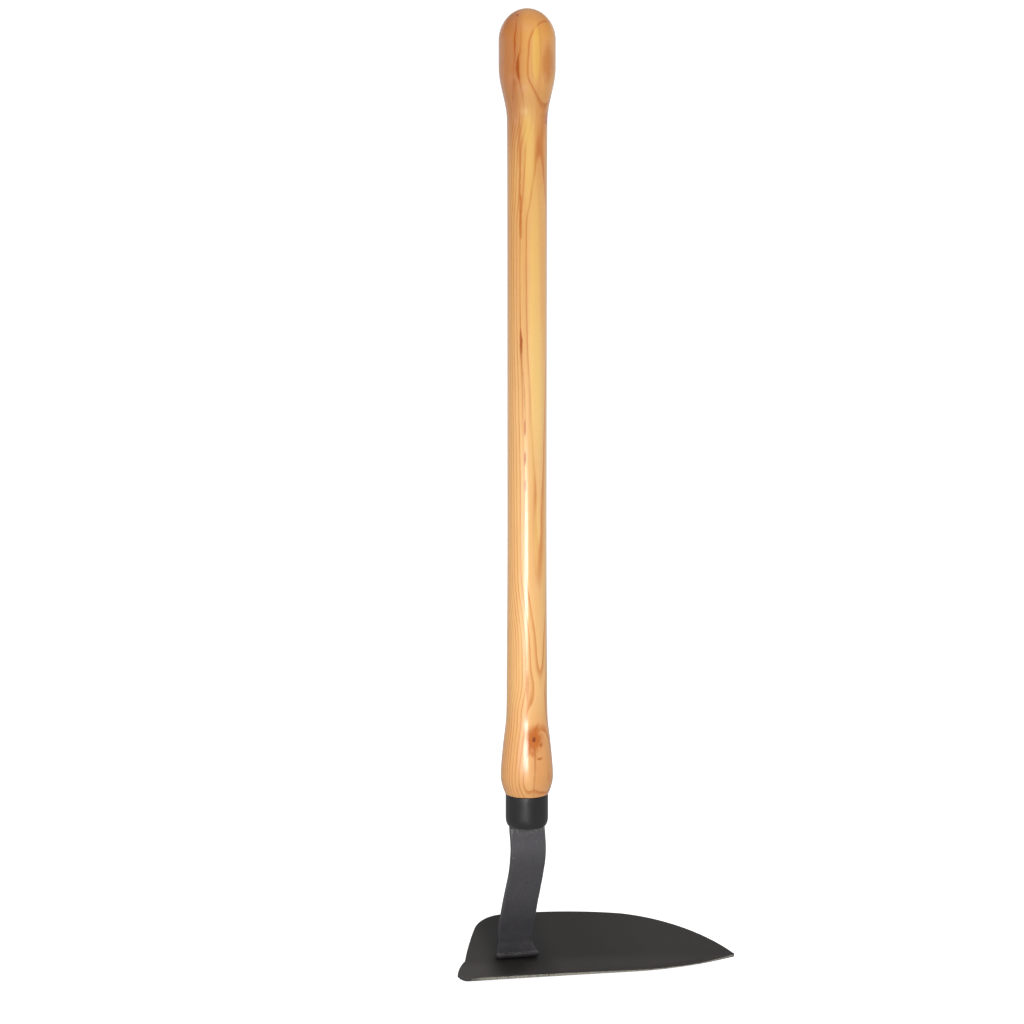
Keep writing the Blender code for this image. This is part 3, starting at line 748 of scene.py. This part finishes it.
def smooth_path(rows, steps):
    """Rows of numbers with steps - 1 more between each two, on a smooth curve through them."""
    rows = [Vector(row) for row in rows]
    along = [0.0]
    for first, second in zip(rows, rows[1:]):
        along.append(along[-1] + hypot(second[0] - first[0], second[1] - first[1]))
    slopes = []
    for index in range(len(rows)):
        low = max(index - 1, 0)
        high = min(index + 1, len(rows) - 1)
        slopes.append((rows[high] - rows[low]) / (along[high] - along[low]))
    path = [rows[0]]
    for index in range(len(rows) - 1):
        span = along[index + 1] - along[index]
        for step in range(1, steps + 1):
            u = step / steps
            path.append(
                rows[index] * (2 * u**3 - 3 * u**2 + 1)
                + slopes[index] * span * (u**3 - 2 * u**2 + u)
                + rows[index + 1] * (3 * u**2 - 2 * u**3)
                + slopes[index + 1] * span * (u**3 - u**2)
            )
    return path


def clamped(number):
    return max(0.0, min(1.0, number))


def arc(centre, radius, start, end, steps):
    """Points on an arc, as (x, y), from one angle to another in degrees."""
    points = []
    for step in range(steps + 1):
        angle = radians(start + (end - start) * step / steps)
        points.append((centre[0] + radius * cos(angle), centre[1] + radius * sin(angle)))
    return points


def cut_away(obj, cutter):
    """Cuts the shape out of the mesh for good."""
    modifier = obj.modifiers.new("cut", "BOOLEAN")
    modifier.solver = "EXACT"
    modifier.object = cutter
    depsgraph = bpy.context.evaluated_depsgraph_get()
    mesh = bpy.data.meshes.new_from_object(obj.evaluated_get(depsgraph))
    obj.modifiers.clear()
    obj.data = mesh
    bpy.data.objects.remove(cutter, do_unlink=True)


def block(low, high):
    """A box-shaped cutter between two corners."""
    bm = bmesh.new()
    bmesh.ops.create_cube(bm, size=1.0)
    size = [b - a for a, b in zip(low, high)]
    middle = [(a + b) / 2.0 for a, b in zip(low, high)]
    bmesh.ops.scale(bm, vec=size, verts=bm.verts)
    bmesh.ops.translate(bm, vec=middle, verts=bm.verts)
    return add_object("cutter", to_mesh("cutter", bm))


# --- handle and ferrule ---

# Handle outline as (radius, height over the ferrule's lower face), below the knob's dome.
KNOB_RADIUS = 0.0196
KNOB_CENTRE = 0.5577
KNOB_BASE = 0.5395
KNOB_NECK = (0.01390, 0.5005)
SHAFT = ((0.01372, 0.4600), (0.01362, 0.2300), (0.01366, 0.1900), (0.01386, 0.1480))
SHAFT_FOOT = ((0.01412, 0.1120), (0.01450, 0.0790))
BULB = ((0.01632, 0.0620), (0.01770, 0.0480), (0.01830, 0.0386), (0.01822, 0.0345))
BULB_TURN = ((0.01785, 0.0318), (0.01735, 0.0298))
SHOULDER = (0.01520, 0.0238)
SPIGOT_RADIUS = 0.0134
BORE_RADIUS = 0.0065
BORE_TOP = 0.0800
FERRULE_WALL = 0.0012
FERRULE_HEIGHT = FERRULE_HIGH.z - FERRULE_LOW.z
TURNED_SEGMENTS = 144
DOME_STEPS = 24
KNOB_NECK_STEPS = 20
SHAFT_STEPS = 8
# The rounded shoulder under the bulb, and the spigot's end round the bore.
SHOULDER_TURN = ((0.01660, 0.0272), (0.01560, 0.0246))
SPIGOT_END = ((SPIGOT_RADIUS, 0.0055), (0.0094, 0.0015), (BORE_RADIUS, 0.0015))
BORE_TIP = 0.0030

# The ferrule's edge, its inner round, and its outside as (radius, height) down from its side.
FERRULE_EDGE = 0.0004
FERRULE_INNER_ROUND = 0.0040
FERRULE_SHARP = 40.0
FERRULE_SIDE = (0.0200, 0.0120, 0.0070)
FERRULE_FOOT = (
    (0.01486, 0.0052), (0.01462, 0.0036), (0.01423, 0.0022), (0.01372, 0.0011),
    (0.01310, 0.0004), (0.01235, 0.00008), (0.0115, 0.0), (0.0, 0.0),
)
# Where the coat is worn: between two heights at the foot, and down to a depth under the rim.
FERRULE_WEAR = (0.00005, 0.0012, 0.0003)
SLOT_HALF_WIDTH = 0.0047
SLOT_HALF_DEPTH = 0.0028
SLOT_BELOW = 0.002
SLOT_ABOVE = 0.003

# The nail: its radius, head height, tip length, and the turns round its domed head.
PIN_RADIUS = 0.0013
PIN_HEAD = 0.0011
PIN_TIP = 0.0026
PIN_DOME = (0.0, 0.35, 0.7, 1.05, 1.35)
PIN_SEGMENTS = 40


def handle_profile():
    dome_height = KNOB_TOP_Z - FERRULE_FACE_Z - KNOB_CENTRE
    outline = []
    for step in range(DOME_STEPS + 1):
        angle = (pi / 2.0) * step / DOME_STEPS
        outline.append((KNOB_RADIUS * sin(angle), KNOB_CENTRE + dome_height * cos(angle)))
    for step in range(KNOB_NECK_STEPS + 1):
        part = step / KNOB_NECK_STEPS
        blend = (1.0 - cos(pi * part)) / 2.0
        radius = KNOB_RADIUS + (KNOB_NECK[0] - KNOB_RADIUS) * blend
        outline.append((radius, KNOB_BASE + (KNOB_NECK[1] - KNOB_BASE) * part))
    shaft = smooth_path((KNOB_NECK, *SHAFT, *SHAFT_FOOT, *BULB, *BULB_TURN), SHAFT_STEPS)
    outline += [(row[0], row[1]) for row in shaft[1:]]
    outline += [*SHOULDER_TURN, SHOULDER, (SPIGOT_RADIUS, SHOULDER[1]), *SPIGOT_END]
    return outline + [(BORE_RADIUS, BORE_TOP), (0.0, BORE_TOP + BORE_TIP)]


def make_handle():
    verts, rings = lathe(handle_profile(), TURNED_SEGMENTS)
    handle = piece("handle", verts, rings, Wood("lacquered_ash").build(), 50.0)
    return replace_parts(handle, "ash_handle")


def ferrule_profile():
    """Half a section of the cup, from the middle of its floor inside to that outside."""
    outer = FERRULE_RADIUS
    inner = outer - FERRULE_WALL
    rim = FERRULE_EDGE
    top = FERRULE_HEIGHT
    profile = [(0.0, FERRULE_WALL), (inner - FERRULE_INNER_ROUND, FERRULE_WALL)]
    profile += [(inner, FERRULE_WALL + FERRULE_INNER_ROUND), (inner, top - rim)]
    profile += arc((outer - rim - 0.0004, top - rim), rim, 180.0, 90.0, 3)[1:]
    profile += arc((outer - rim, top - rim), rim, 90.0, 0.0, 4)
    profile += [(outer, height) for height in FERRULE_SIDE]
    return profile + [*FERRULE_FOOT]


def make_ferrule():
    """A pressed cup with rolled edges and a slot for the tang."""
    verts, rings = lathe(ferrule_profile(), TURNED_SEGMENTS)
    foot_low, foot_high, rim_depth = FERRULE_WEAR
    wear = []
    for vert in verts:
        height = vert.z - FERRULE_FACE_Z
        worn = height > FERRULE_HEIGHT - rim_depth or foot_low < height < foot_high
        wear.append(1.0 if worn else 0.0)
    coat = ferrule_material()
    ferrule = piece("ferrule_cup", verts, rings, coat, FERRULE_SHARP, wear)
    low = (-SLOT_HALF_WIDTH, AXIS_Y - SLOT_HALF_DEPTH, FERRULE_FACE_Z - SLOT_BELOW)
    high = (SLOT_HALF_WIDTH, AXIS_Y + SLOT_HALF_DEPTH, FERRULE_FACE_Z + SLOT_ABOVE)
    cut_away(ferrule, block(low, high))
    ferrule.data.shade_smooth()
    ferrule.data.set_sharp_from_angle(angle=radians(FERRULE_SHARP))
    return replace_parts(ferrule, "ferrule")


def make_pin():
    """The nail through the back of the ferrule, turned about its own axis, which lies along Y."""
    low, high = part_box("ferrule_pin")
    head_radius = (high.x - low.x) / 2.0
    seat = high.y - PIN_HEAD
    profile = [(head_radius * sin(a), seat + PIN_HEAD * cos(a)) for a in PIN_DOME]
    profile += [(head_radius, seat), (PIN_RADIUS, seat)]
    profile += [(PIN_RADIUS, low.y + PIN_TIP), (0.0, low.y)]

    def on_nail(radius, angle, y):
        return Vector((radius * cos(angle), y, (low.z + high.z) / 2.0 + radius * sin(angle)))

    verts, rings = lathe(profile, PIN_SEGMENTS, on_nail)
    pin = piece("ferrule_nail", verts, rings, pin_material(), 50.0)
    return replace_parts(pin, "ferrule_pin")


# --- neck ---

# Stations down the strap's middle line, in the handle's own axes: (y, height, width, thickness).
NECK_STATIONS = (
    (0.0000, -0.0003, 0.0248, 0.0056), (-0.0034, -0.013, 0.0248, 0.0054),
    (-0.003, -0.022, 0.0248, 0.0052), (0.0026, -0.0355, 0.0246, 0.0048),
    (0.0134, -0.0525, 0.0249, 0.0045), (0.0237, -0.0695, 0.025, 0.0044),
    (0.0312, -0.0835, 0.025, 0.0045), (0.0335, -0.0921, 0.0249, 0.0046),
    (0.0336, -0.0955, 0.0252, 0.0047), (0.0322, -0.0984, 0.027, 0.0044),
    (0.0295, -0.1006, 0.0293, 0.0037), (0.0263, -0.1022, 0.0312, 0.0028),
)
TANG = (
    (0.0745, 0.0026, 0.0022), (0.07, 0.0056, 0.004),
    (0.016, 0.0088, 0.0049), (0.0001, 0.009, 0.005),
)
NECK_EDGE = 0.0009
NECK_STEPS = 8
EDGE_FADE = 0.0003
FLAT_STEPS = 16
CORNER_STEPS = 4
# Hammer dents across the toe, as places across the strap.
TOE_DENTS = (-0.0018, 0.0046)
TOE_DENT_WIDTH = 0.0024
TOE_DENT_DEPTH = 0.0007
# The part of the toe whose crest is painted bright, a painted highlight through the wear
# attribute, and the nose beyond it as (distance ahead, share of the toe's thickness).
CREST = (0.86, 1.0)
CREST_PAINTED_HIGHLIGHT = 3.0
NOSE = ((0.0003, 0.90), (0.0007, 0.70), (0.0010, 0.45))


def bar_section(width, thickness, edge):
    """Points round a bar with rounded edges, as (x, n, wear), n outwards from its front."""
    half_w = width / 2.0
    half_t = thickness / 2.0
    reach = half_w - edge
    margin = reach - EDGE_FADE
    points = []
    corners = ((1, 1, 90.0), (1, -1, 0.0), (-1, -1, -90.0), (-1, 1, -180.0))
    for side_x, side_n, start in corners:
        centre = (side_x * reach, side_n * (half_t - edge))
        bend = arc(centre, edge, start, start - 90.0, CORNER_STEPS)
        points += [(x, n, 1.0) for x, n in bend]
        if side_x == side_n:
            # The narrow side of the bar.
            fade = max(0.0, half_t - edge - EDGE_FADE)
            points += [(side_x * half_w, side_n * n, 0.0) for n in (fade, 0.0, -fade)]
            continue
        for step in range(FLAT_STEPS + 1):
            x = side_x * margin * (1.0 - 2.0 * step / FLAT_STEPS)
            points.append((x, side_n * half_t, 0.0))
    return points


def toe_dent(x, along):
    """How deep the hammer marks lie across the toe; along is 0 above it and 1 at its end."""
    depth = 0.0
    for place in TOE_DENTS:
        depth += max(0.0, 1.0 - abs(x - place) / TOE_DENT_WIDTH)
    return TOE_DENT_DEPTH * depth * clamped((along - 0.55) / 0.25)


def make_neck():
    verts = []
    rings = []
    wear = []
    upright = Vector((0.0, 0.0, 1.0))
    stations = [(Vector((0.0, 0.0, z)), upright, w, t, 0.0006, 0.0) for z, w, t in TANG]
    path = smooth_path(NECK_STATIONS, NECK_STEPS)
    toe_start = 7 * NECK_STEPS
    for index, (y, z, width, thickness) in enumerate(path):
        above = path[max(index - 1, 0)]
        below = path[min(index + 1, len(path) - 1)]
        up = Vector((0.0, above[0] - below[0], above[1] - below[1])).normalized()
        if index == 0:
            up = upright
        along = max(0.0, (index - toe_start) / (len(path) - 1 - toe_start))
        edge = min(NECK_EDGE, thickness * 0.32)
        stations.append((Vector((0.0, y, z)), up, width, thickness, edge, along))
    end = stations[-1]
    for ahead, share in NOSE:
        # The toe's end is rounded over from the top, down to the plate.
        lower = Vector((0.0, end[1].z, -end[1].y)) * (end[3] / 2.0 * (1.0 - share))
        centre = end[0] - end[1] * ahead + lower
        stations.append((centre, end[1], end[2] - ahead, end[3] * share, end[4] * share, 2.0))
    base = Vector((0.0, AXIS_Y, FERRULE_FACE_Z))
    for number, (centre, up, width, thickness, edge, along) in enumerate(stations):
        front = Vector((0.0, -up.z, up.y))
        ring = []
        forged = 0.0 if number < len(TANG) + 1 else 1.0
        for x, n, sharp in bar_section(width, thickness, edge):
            point = base + centre + Vector((x, 0.0, 0.0)) + front * n
            rough = noise.noise(point * 95.0) * 0.00012 + noise.noise(point * 330.0) * 0.00004
            dent = toe_dent(x, along) if n > 0.0 else 0.0
            outward = Vector((x / width, 0.0, 0.0)) + front * (n / thickness)
            point += outward.normalized() * rough * forged - front * dent
            ring.append(len(verts))
            verts.append(point)
            # The toe's crest gets a painted highlight through the wear attribute.
            if along > CREST[0]:
                sharp = CREST_PAINTED_HIGHLIGHT if n > 0.0 and along <= CREST[1] else 0.0
            wear.append(sharp * forged)
        rings.append(ring)
    neck = piece("neck", verts, rings, forged_material(), 60.0, wear)
    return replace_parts(neck, "forged_neck")


# --- blade ---

# Blade in its own plane: x along it, q back from the origin, n up from its underside.
BLADE_TILT = radians(20.0)
BLADE_THICKNESS = 0.0025
BLADE_START = (-0.0368, -0.0316)
BLADE_ARCS = (
    ((0.024, -0.0325), (0.085, -0.0344), 60), ((0.122, -0.0329), (0.1542, -0.0282), 36),
    ((0.1557, -0.0272), (0.1549, -0.0259), 8), ((0.1258, 0.0087), (0.0862, 0.0299), 44),
    ((0.042, 0.0374), (-0.0013, 0.0385), 44), ((-0.0127, 0.0345), (-0.0216, 0.0252), 16),
    ((-0.0302, 0.0066), (-0.0379, -0.0134), 24), ((-0.0433, -0.0203), (-0.046, -0.0262), 10),
    ((-0.0434, -0.0302), (-0.0368, -0.0316), 10),
)
FOLD_ARC = ((-0.0388, -0.0136), (0.0610, -0.0154), (0.1550, -0.0270))
FOLD_ANGLE = radians(7.0)
FOLD_SOFTNESS = 0.0050
BAND_DROP = 0.0009
# The ground strip along the cutting edge: where it starts, and its height in the plate at places
# along the edge. Over it the dark face slopes back to the full thickness.
GRIND_START_X = -0.0375
GRIND_HEIGHTS = (
    (-0.0375, 0.0018), (0.035, 0.0016), (0.09, 0.0009),
    (0.12, 0.0006), (0.155, 0.0004),
)
GRIND_LEAN = radians(70.0)
SLOPE_LEAN = radians(36.0)
CUTTING_ROUND = 0.00012
TIP_BLEND = (0.130, 0.151)
GROUND_LEVEL = 3
BLADE_ROUND = 0.00028
GRID = 0.0035
GRID_COLUMNS = 58
GRID_ROWS = 21
# The ring of flat face kept inside the edge, and the plate's faint unevenness.
EDGE_LAP = 0.0007
UNEVEN = 0.00010


def circle_through(a, b, c):
    """Centre and radius of the circle through three points."""
    twice = 2.0 * (a[0] * (b[1] - c[1]) + b[0] * (c[1] - a[1]) + c[0] * (a[1] - b[1]))
    aa = a[0] ** 2 + a[1] ** 2
    bb = b[0] ** 2 + b[1] ** 2
    cc = c[0] ** 2 + c[1] ** 2
    x = (aa * (b[1] - c[1]) + bb * (c[1] - a[1]) + cc * (a[1] - b[1])) / twice
    y = (aa * (c[0] - b[0]) + bb * (a[0] - c[0]) + cc * (b[0] - a[0])) / twice
    return (x, y), hypot(a[0] - x, a[1] - y)


def arc_points(start, via, end, steps):
    """Points after start along the arc through via to end."""
    centre, radius = circle_through(start, via, end)
    first = atan2(start[1] - centre[1], start[0] - centre[0])
    middle = atan2(via[1] - centre[1], via[0] - centre[0])
    last = atan2(end[1] - centre[1], end[0] - centre[0])
    sweep = (last - first) % (2.0 * pi)
    if (middle - first) % (2.0 * pi) > sweep:
        sweep -= 2.0 * pi
    points = []
    for step in range(1, steps + 1):
        angle = first + sweep * step / steps
        points.append((centre[0] + radius * cos(angle), centre[1] + radius * sin(angle)))
    return points


def blade_outline():
    """(x, q, on the cutting edge) round the blade, without repeating the first point."""
    points = [(*BLADE_START, True)]
    for number, (via, end, steps) in enumerate(BLADE_ARCS):
        cutting = number < 2
        points += [(x, q, cutting) for x, q in arc_points(points[-1][:2], via, end, steps)]
    return points[:-1]


def fold_drop(x, q):
    """How far the bent front band lies below the blade's plane."""
    centre, radius = circle_through(*FOLD_ARC)
    ahead = centre[1] + sqrt(radius**2 - (x - centre[0]) ** 2) - q
    if ahead <= -FOLD_SOFTNESS:
        return 0.0
    if ahead >= FOLD_SOFTNESS:
        return tan(FOLD_ANGLE) * ahead
    return tan(FOLD_ANGLE) * (ahead + FOLD_SOFTNESS) ** 2 / (4.0 * FOLD_SOFTNESS)


def in_steps(place, rows):
    """The value at a place on the straight lines through (place, value) rows."""
    for (low, first), (high, second) in zip(rows, rows[1:]):
        if place <= high:
            return first + (second - first) * max(0.0, place - low) / (high - low)
    return rows[-1][1]


def edge_levels(x, cutting):
    """(inset, height, wear) up the plate's edge at x, from its underside to its top face."""
    top = BLADE_THICKNESS
    plain = (
        (0.0009, 0.0, 0.0),
        (BLADE_ROUND, 0.0, 0.6),
        (0.0, BLADE_ROUND, 1.0),
        (0.0, top * 0.3, 0.3),
        (0.0, top - BLADE_ROUND, 0.7),
        (BLADE_ROUND * 0.4, top - BLADE_ROUND * 0.4, 0.7),
        (BLADE_ROUND, top, 1.0),
        (BLADE_ROUND + EDGE_LAP, top, 0.0),
    )
    if not cutting:
        return plain
    rough = 1.0 + 0.10 * noise.noise(Vector((x * 260.0, 3.1, 0.4)))
    high = in_steps(x, GRIND_HEIGHTS) * rough
    low = CUTTING_ROUND + 0.0006 * clamped((-0.014 - x) / 0.020)
    back = high / tan(GRIND_LEAN)
    slope = (top - CUTTING_ROUND - high) / tan(SLOPE_LEAN)
    crest = back + max(0.0004, slope)
    ground = (
        (crest, 0.0, 0.0),
        (CUTTING_ROUND, 0.0, 0.3),
        (0.0, CUTTING_ROUND, 0.3),
        (low / tan(GRIND_LEAN), low, 0.0),
        (back, CUTTING_ROUND + high, 0.4),
        ((back + crest) / 2.0, (CUTTING_ROUND + high + top) / 2.0 + 0.00008, 0.0),
        (crest, top, 0.0),
        (crest + EDGE_LAP, top, 0.0),
    )
    start = clamped((x - GRIND_START_X) / 0.0025)
    end = clamped((TIP_BLEND[1] - x) / (TIP_BLEND[1] - TIP_BLEND[0]))
    share = min(start, end)
    levels = []
    for flat, cut in zip(plain, ground):
        levels.append(tuple(a + (b - a) * share for a, b in zip(flat, cut)))
    return tuple(levels)


def inward(points):
    """The unit direction into the plate at each outline point."""
    normals = []
    count = len(points)
    for index in range(count):
        before = points[index - 1]
        after = points[(index + 1) % count]
        dx = after[0] - before[0]
        dq = after[1] - before[1]
        length = hypot(dx, dq)
        normals.append((-dq / length, dx / length))
    return normals


def make_blade():
    """A plate with rounded edges and a ground strip, its flat faces cut to a fine grid."""
    outline = blade_outline()
    normals = inward(outline)
    bm = bmesh.new()
    wear_layer = bm.verts.layers.float.new("wear")
    band_layer = bm.verts.layers.float.new("band")
    loops = [[] for level in edge_levels(0.0, False)]
    for (x, q, cutting), (in_x, in_q) in zip(outline, normals):
        for loop, (inset, n, wear) in zip(loops, edge_levels(x, cutting)):
            vert = bm.verts.new((x + in_x * inset, q + in_q * inset, n))
            vert[wear_layer] = wear
            loop.append(vert)
    count = len(outline)
    for level, (lower, upper) in enumerate(zip(loops, loops[1:])):
        for index in range(count):
            nxt = (index + 1) % count
            face = bm.faces.new((lower[index], lower[nxt], upper[nxt], upper[index]))
            x, q, cutting = outline[index]
            if cutting and level == GROUND_LEVEL and x > GRIND_START_X:
                face.material_index = 1
    bm.faces.new(loops[0])
    bm.faces.new(loops[-1])
    low_x = min(x for x, q, cutting in outline)
    low_q = min(q for x, q, cutting in outline)
    cuts = [((low_x + GRID * step, 0.0, 0.0), (1.0, 0.0, 0.0)) for step in range(1, GRID_COLUMNS)]
    cuts += [((0.0, low_q + GRID * step, 0.0), (0.0, 1.0, 0.0)) for step in range(1, GRID_ROWS)]
    for point, normal in cuts:
        flat = [face for face in bm.faces if abs(face.normal.z) > 0.99 or len(face.verts) > 4]
        edges = {edge for face in flat for edge in face.edges}
        corners = {vert for face in flat for vert in face.verts}
        geometry = list(corners) + list(edges) + flat
        bmesh.ops.bisect_plane(bm, geom=geometry, dist=0.00002, plane_co=point, plane_no=normal)
    for vert in bm.verts:
        x, q, n = vert.co
        drop = fold_drop(x, q)
        vert[band_layer] = min(1.0, drop / BAND_DROP)
        n += UNEVEN * noise.noise(Vector((x * 22.0, q * 22.0, 0.7))) - drop
        back = q * cos(BLADE_TILT) - n * sin(BLADE_TILT)
        vert.co = (x, back, q * sin(BLADE_TILT) + n * cos(BLADE_TILT))
    bmesh.ops.recalc_face_normals(bm, faces=bm.faces)
    mesh = to_mesh("blade_plate", bm)
    finishes = [blade_material(), ground_material()]
    blade = finish_piece("blade_plate", mesh, finishes, 32.0)
    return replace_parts(blade, "blade")


# --- weld ---

HEEL_CENTRE = (0.0292, -0.0965)
HEEL_RADIUS = 0.0073
WELD_REACH = 0.0415
WELD_LENGTH = 0.0254
WELD_MIDDLE_X = 0.0014
WELD_RIPPLE = 0.00035
WELD_RIPPLES = 13
# Where the bead meets the heel at its top and toe, in degrees round the heel.
WELD_TOP_TURN = -7.0
WELD_TOE_TURN = -41.0
WELD_LIFT = 0.0004
WELD_SWELL = 0.0005
HEEL_STEPS = 6
CROWN_STEPS = 9
WELD_STEPS = 96
# The bead's rounded ends: their share of its length, and their girth against the full one.
WELD_END = 0.06
WELD_END_GIRTH = 0.55
RIPPLE_LAG = 0.0007
# About how far the bead's outside is from its middle, which turns a depth into a share.
BEAD_REACH = 0.003


def plate_height(y):
    """Height of the blade's top plane at y, both in the handle's own axes."""
    slope = tan(BLADE_TILT)
    return slope * (y + AXIS_Y) + BLADE_THICKNESS / cos(BLADE_TILT) - FERRULE_FACE_Z


def make_weld():
    """A bead with ripples along it, hollow against the heel and rounded at both ends."""
    heel = arc(HEEL_CENTRE, HEEL_RADIUS, WELD_TOE_TURN, WELD_TOP_TURN, HEEL_STEPS)
    top = heel[-1]
    toe_y = HEEL_CENTRE[0] + HEEL_RADIUS * cos(radians(WELD_TOE_TURN))
    front = (toe_y, plate_height(toe_y) + WELD_LIFT)
    back = (WELD_REACH, plate_height(WELD_REACH) + WELD_LIFT)
    via = ((back[0] + top[0]) / 2.0 + WELD_SWELL, (back[1] + top[1]) / 2.0 + WELD_SWELL)
    crown = arc_points(top, via, back, CROWN_STEPS)
    section = [front] + heel[1:] + crown
    section += [((back[0] + front[0]) / 2.0, (back[1] + front[1]) / 2.0)]
    centre = (sum(p[0] for p in section) / len(section), sum(p[1] for p in section) / len(section))
    verts = []
    rings = []
    wear = []
    for step in range(WELD_STEPS + 1):
        part = step / WELD_STEPS
        x = WELD_MIDDLE_X + WELD_LENGTH * (part - 0.5)
        end = min(1.0, min(part, 1.0 - part) / WELD_END)
        girth = WELD_END_GIRTH + (1.0 - WELD_END_GIRTH) * sqrt(end * (2.0 - end))
        wave = abs(sin(pi * WELD_RIPPLES * part))
        ring = []
        for index, (y, z) in enumerate(section):
            outer = HEEL_STEPS < index < len(section) - 2
            pull = WELD_RIPPLE * (1.0 - wave) if outer else 0.0
            scale = girth - pull / BEAD_REACH
            lag = RIPPLE_LAG * sin(pi * (index - HEEL_STEPS) / CROWN_STEPS) if outer else 0.0
            point = Vector((x + lag, 0.0, 0.0))
            point.y = AXIS_Y + centre[0] + (y - centre[0]) * scale
            point.z = FERRULE_FACE_Z + centre[1] + (z - centre[1]) * scale
            ring.append(len(verts))
            verts.append(point)
            wear.append(wave * 0.5 if outer else 0.0)
        rings.append(ring)
    weld = piece("weld_bead", verts, rings, weld_material(), 60.0, wear)
    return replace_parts(weld, "heel_weld")


def dress_adhesive():
    """The glue round the tang keeps its CAD shape and gets a finished material."""
    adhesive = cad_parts["tang_adhesive"]
    for slot in adhesive.material_slots:
        slot.material = epoxy_material()


# --- the whole hoe ---

make_camera()
make_studio()
make_handle()
make_ferrule()
make_pin()
make_neck()
make_blade()
make_weld()
dress_adhesive()
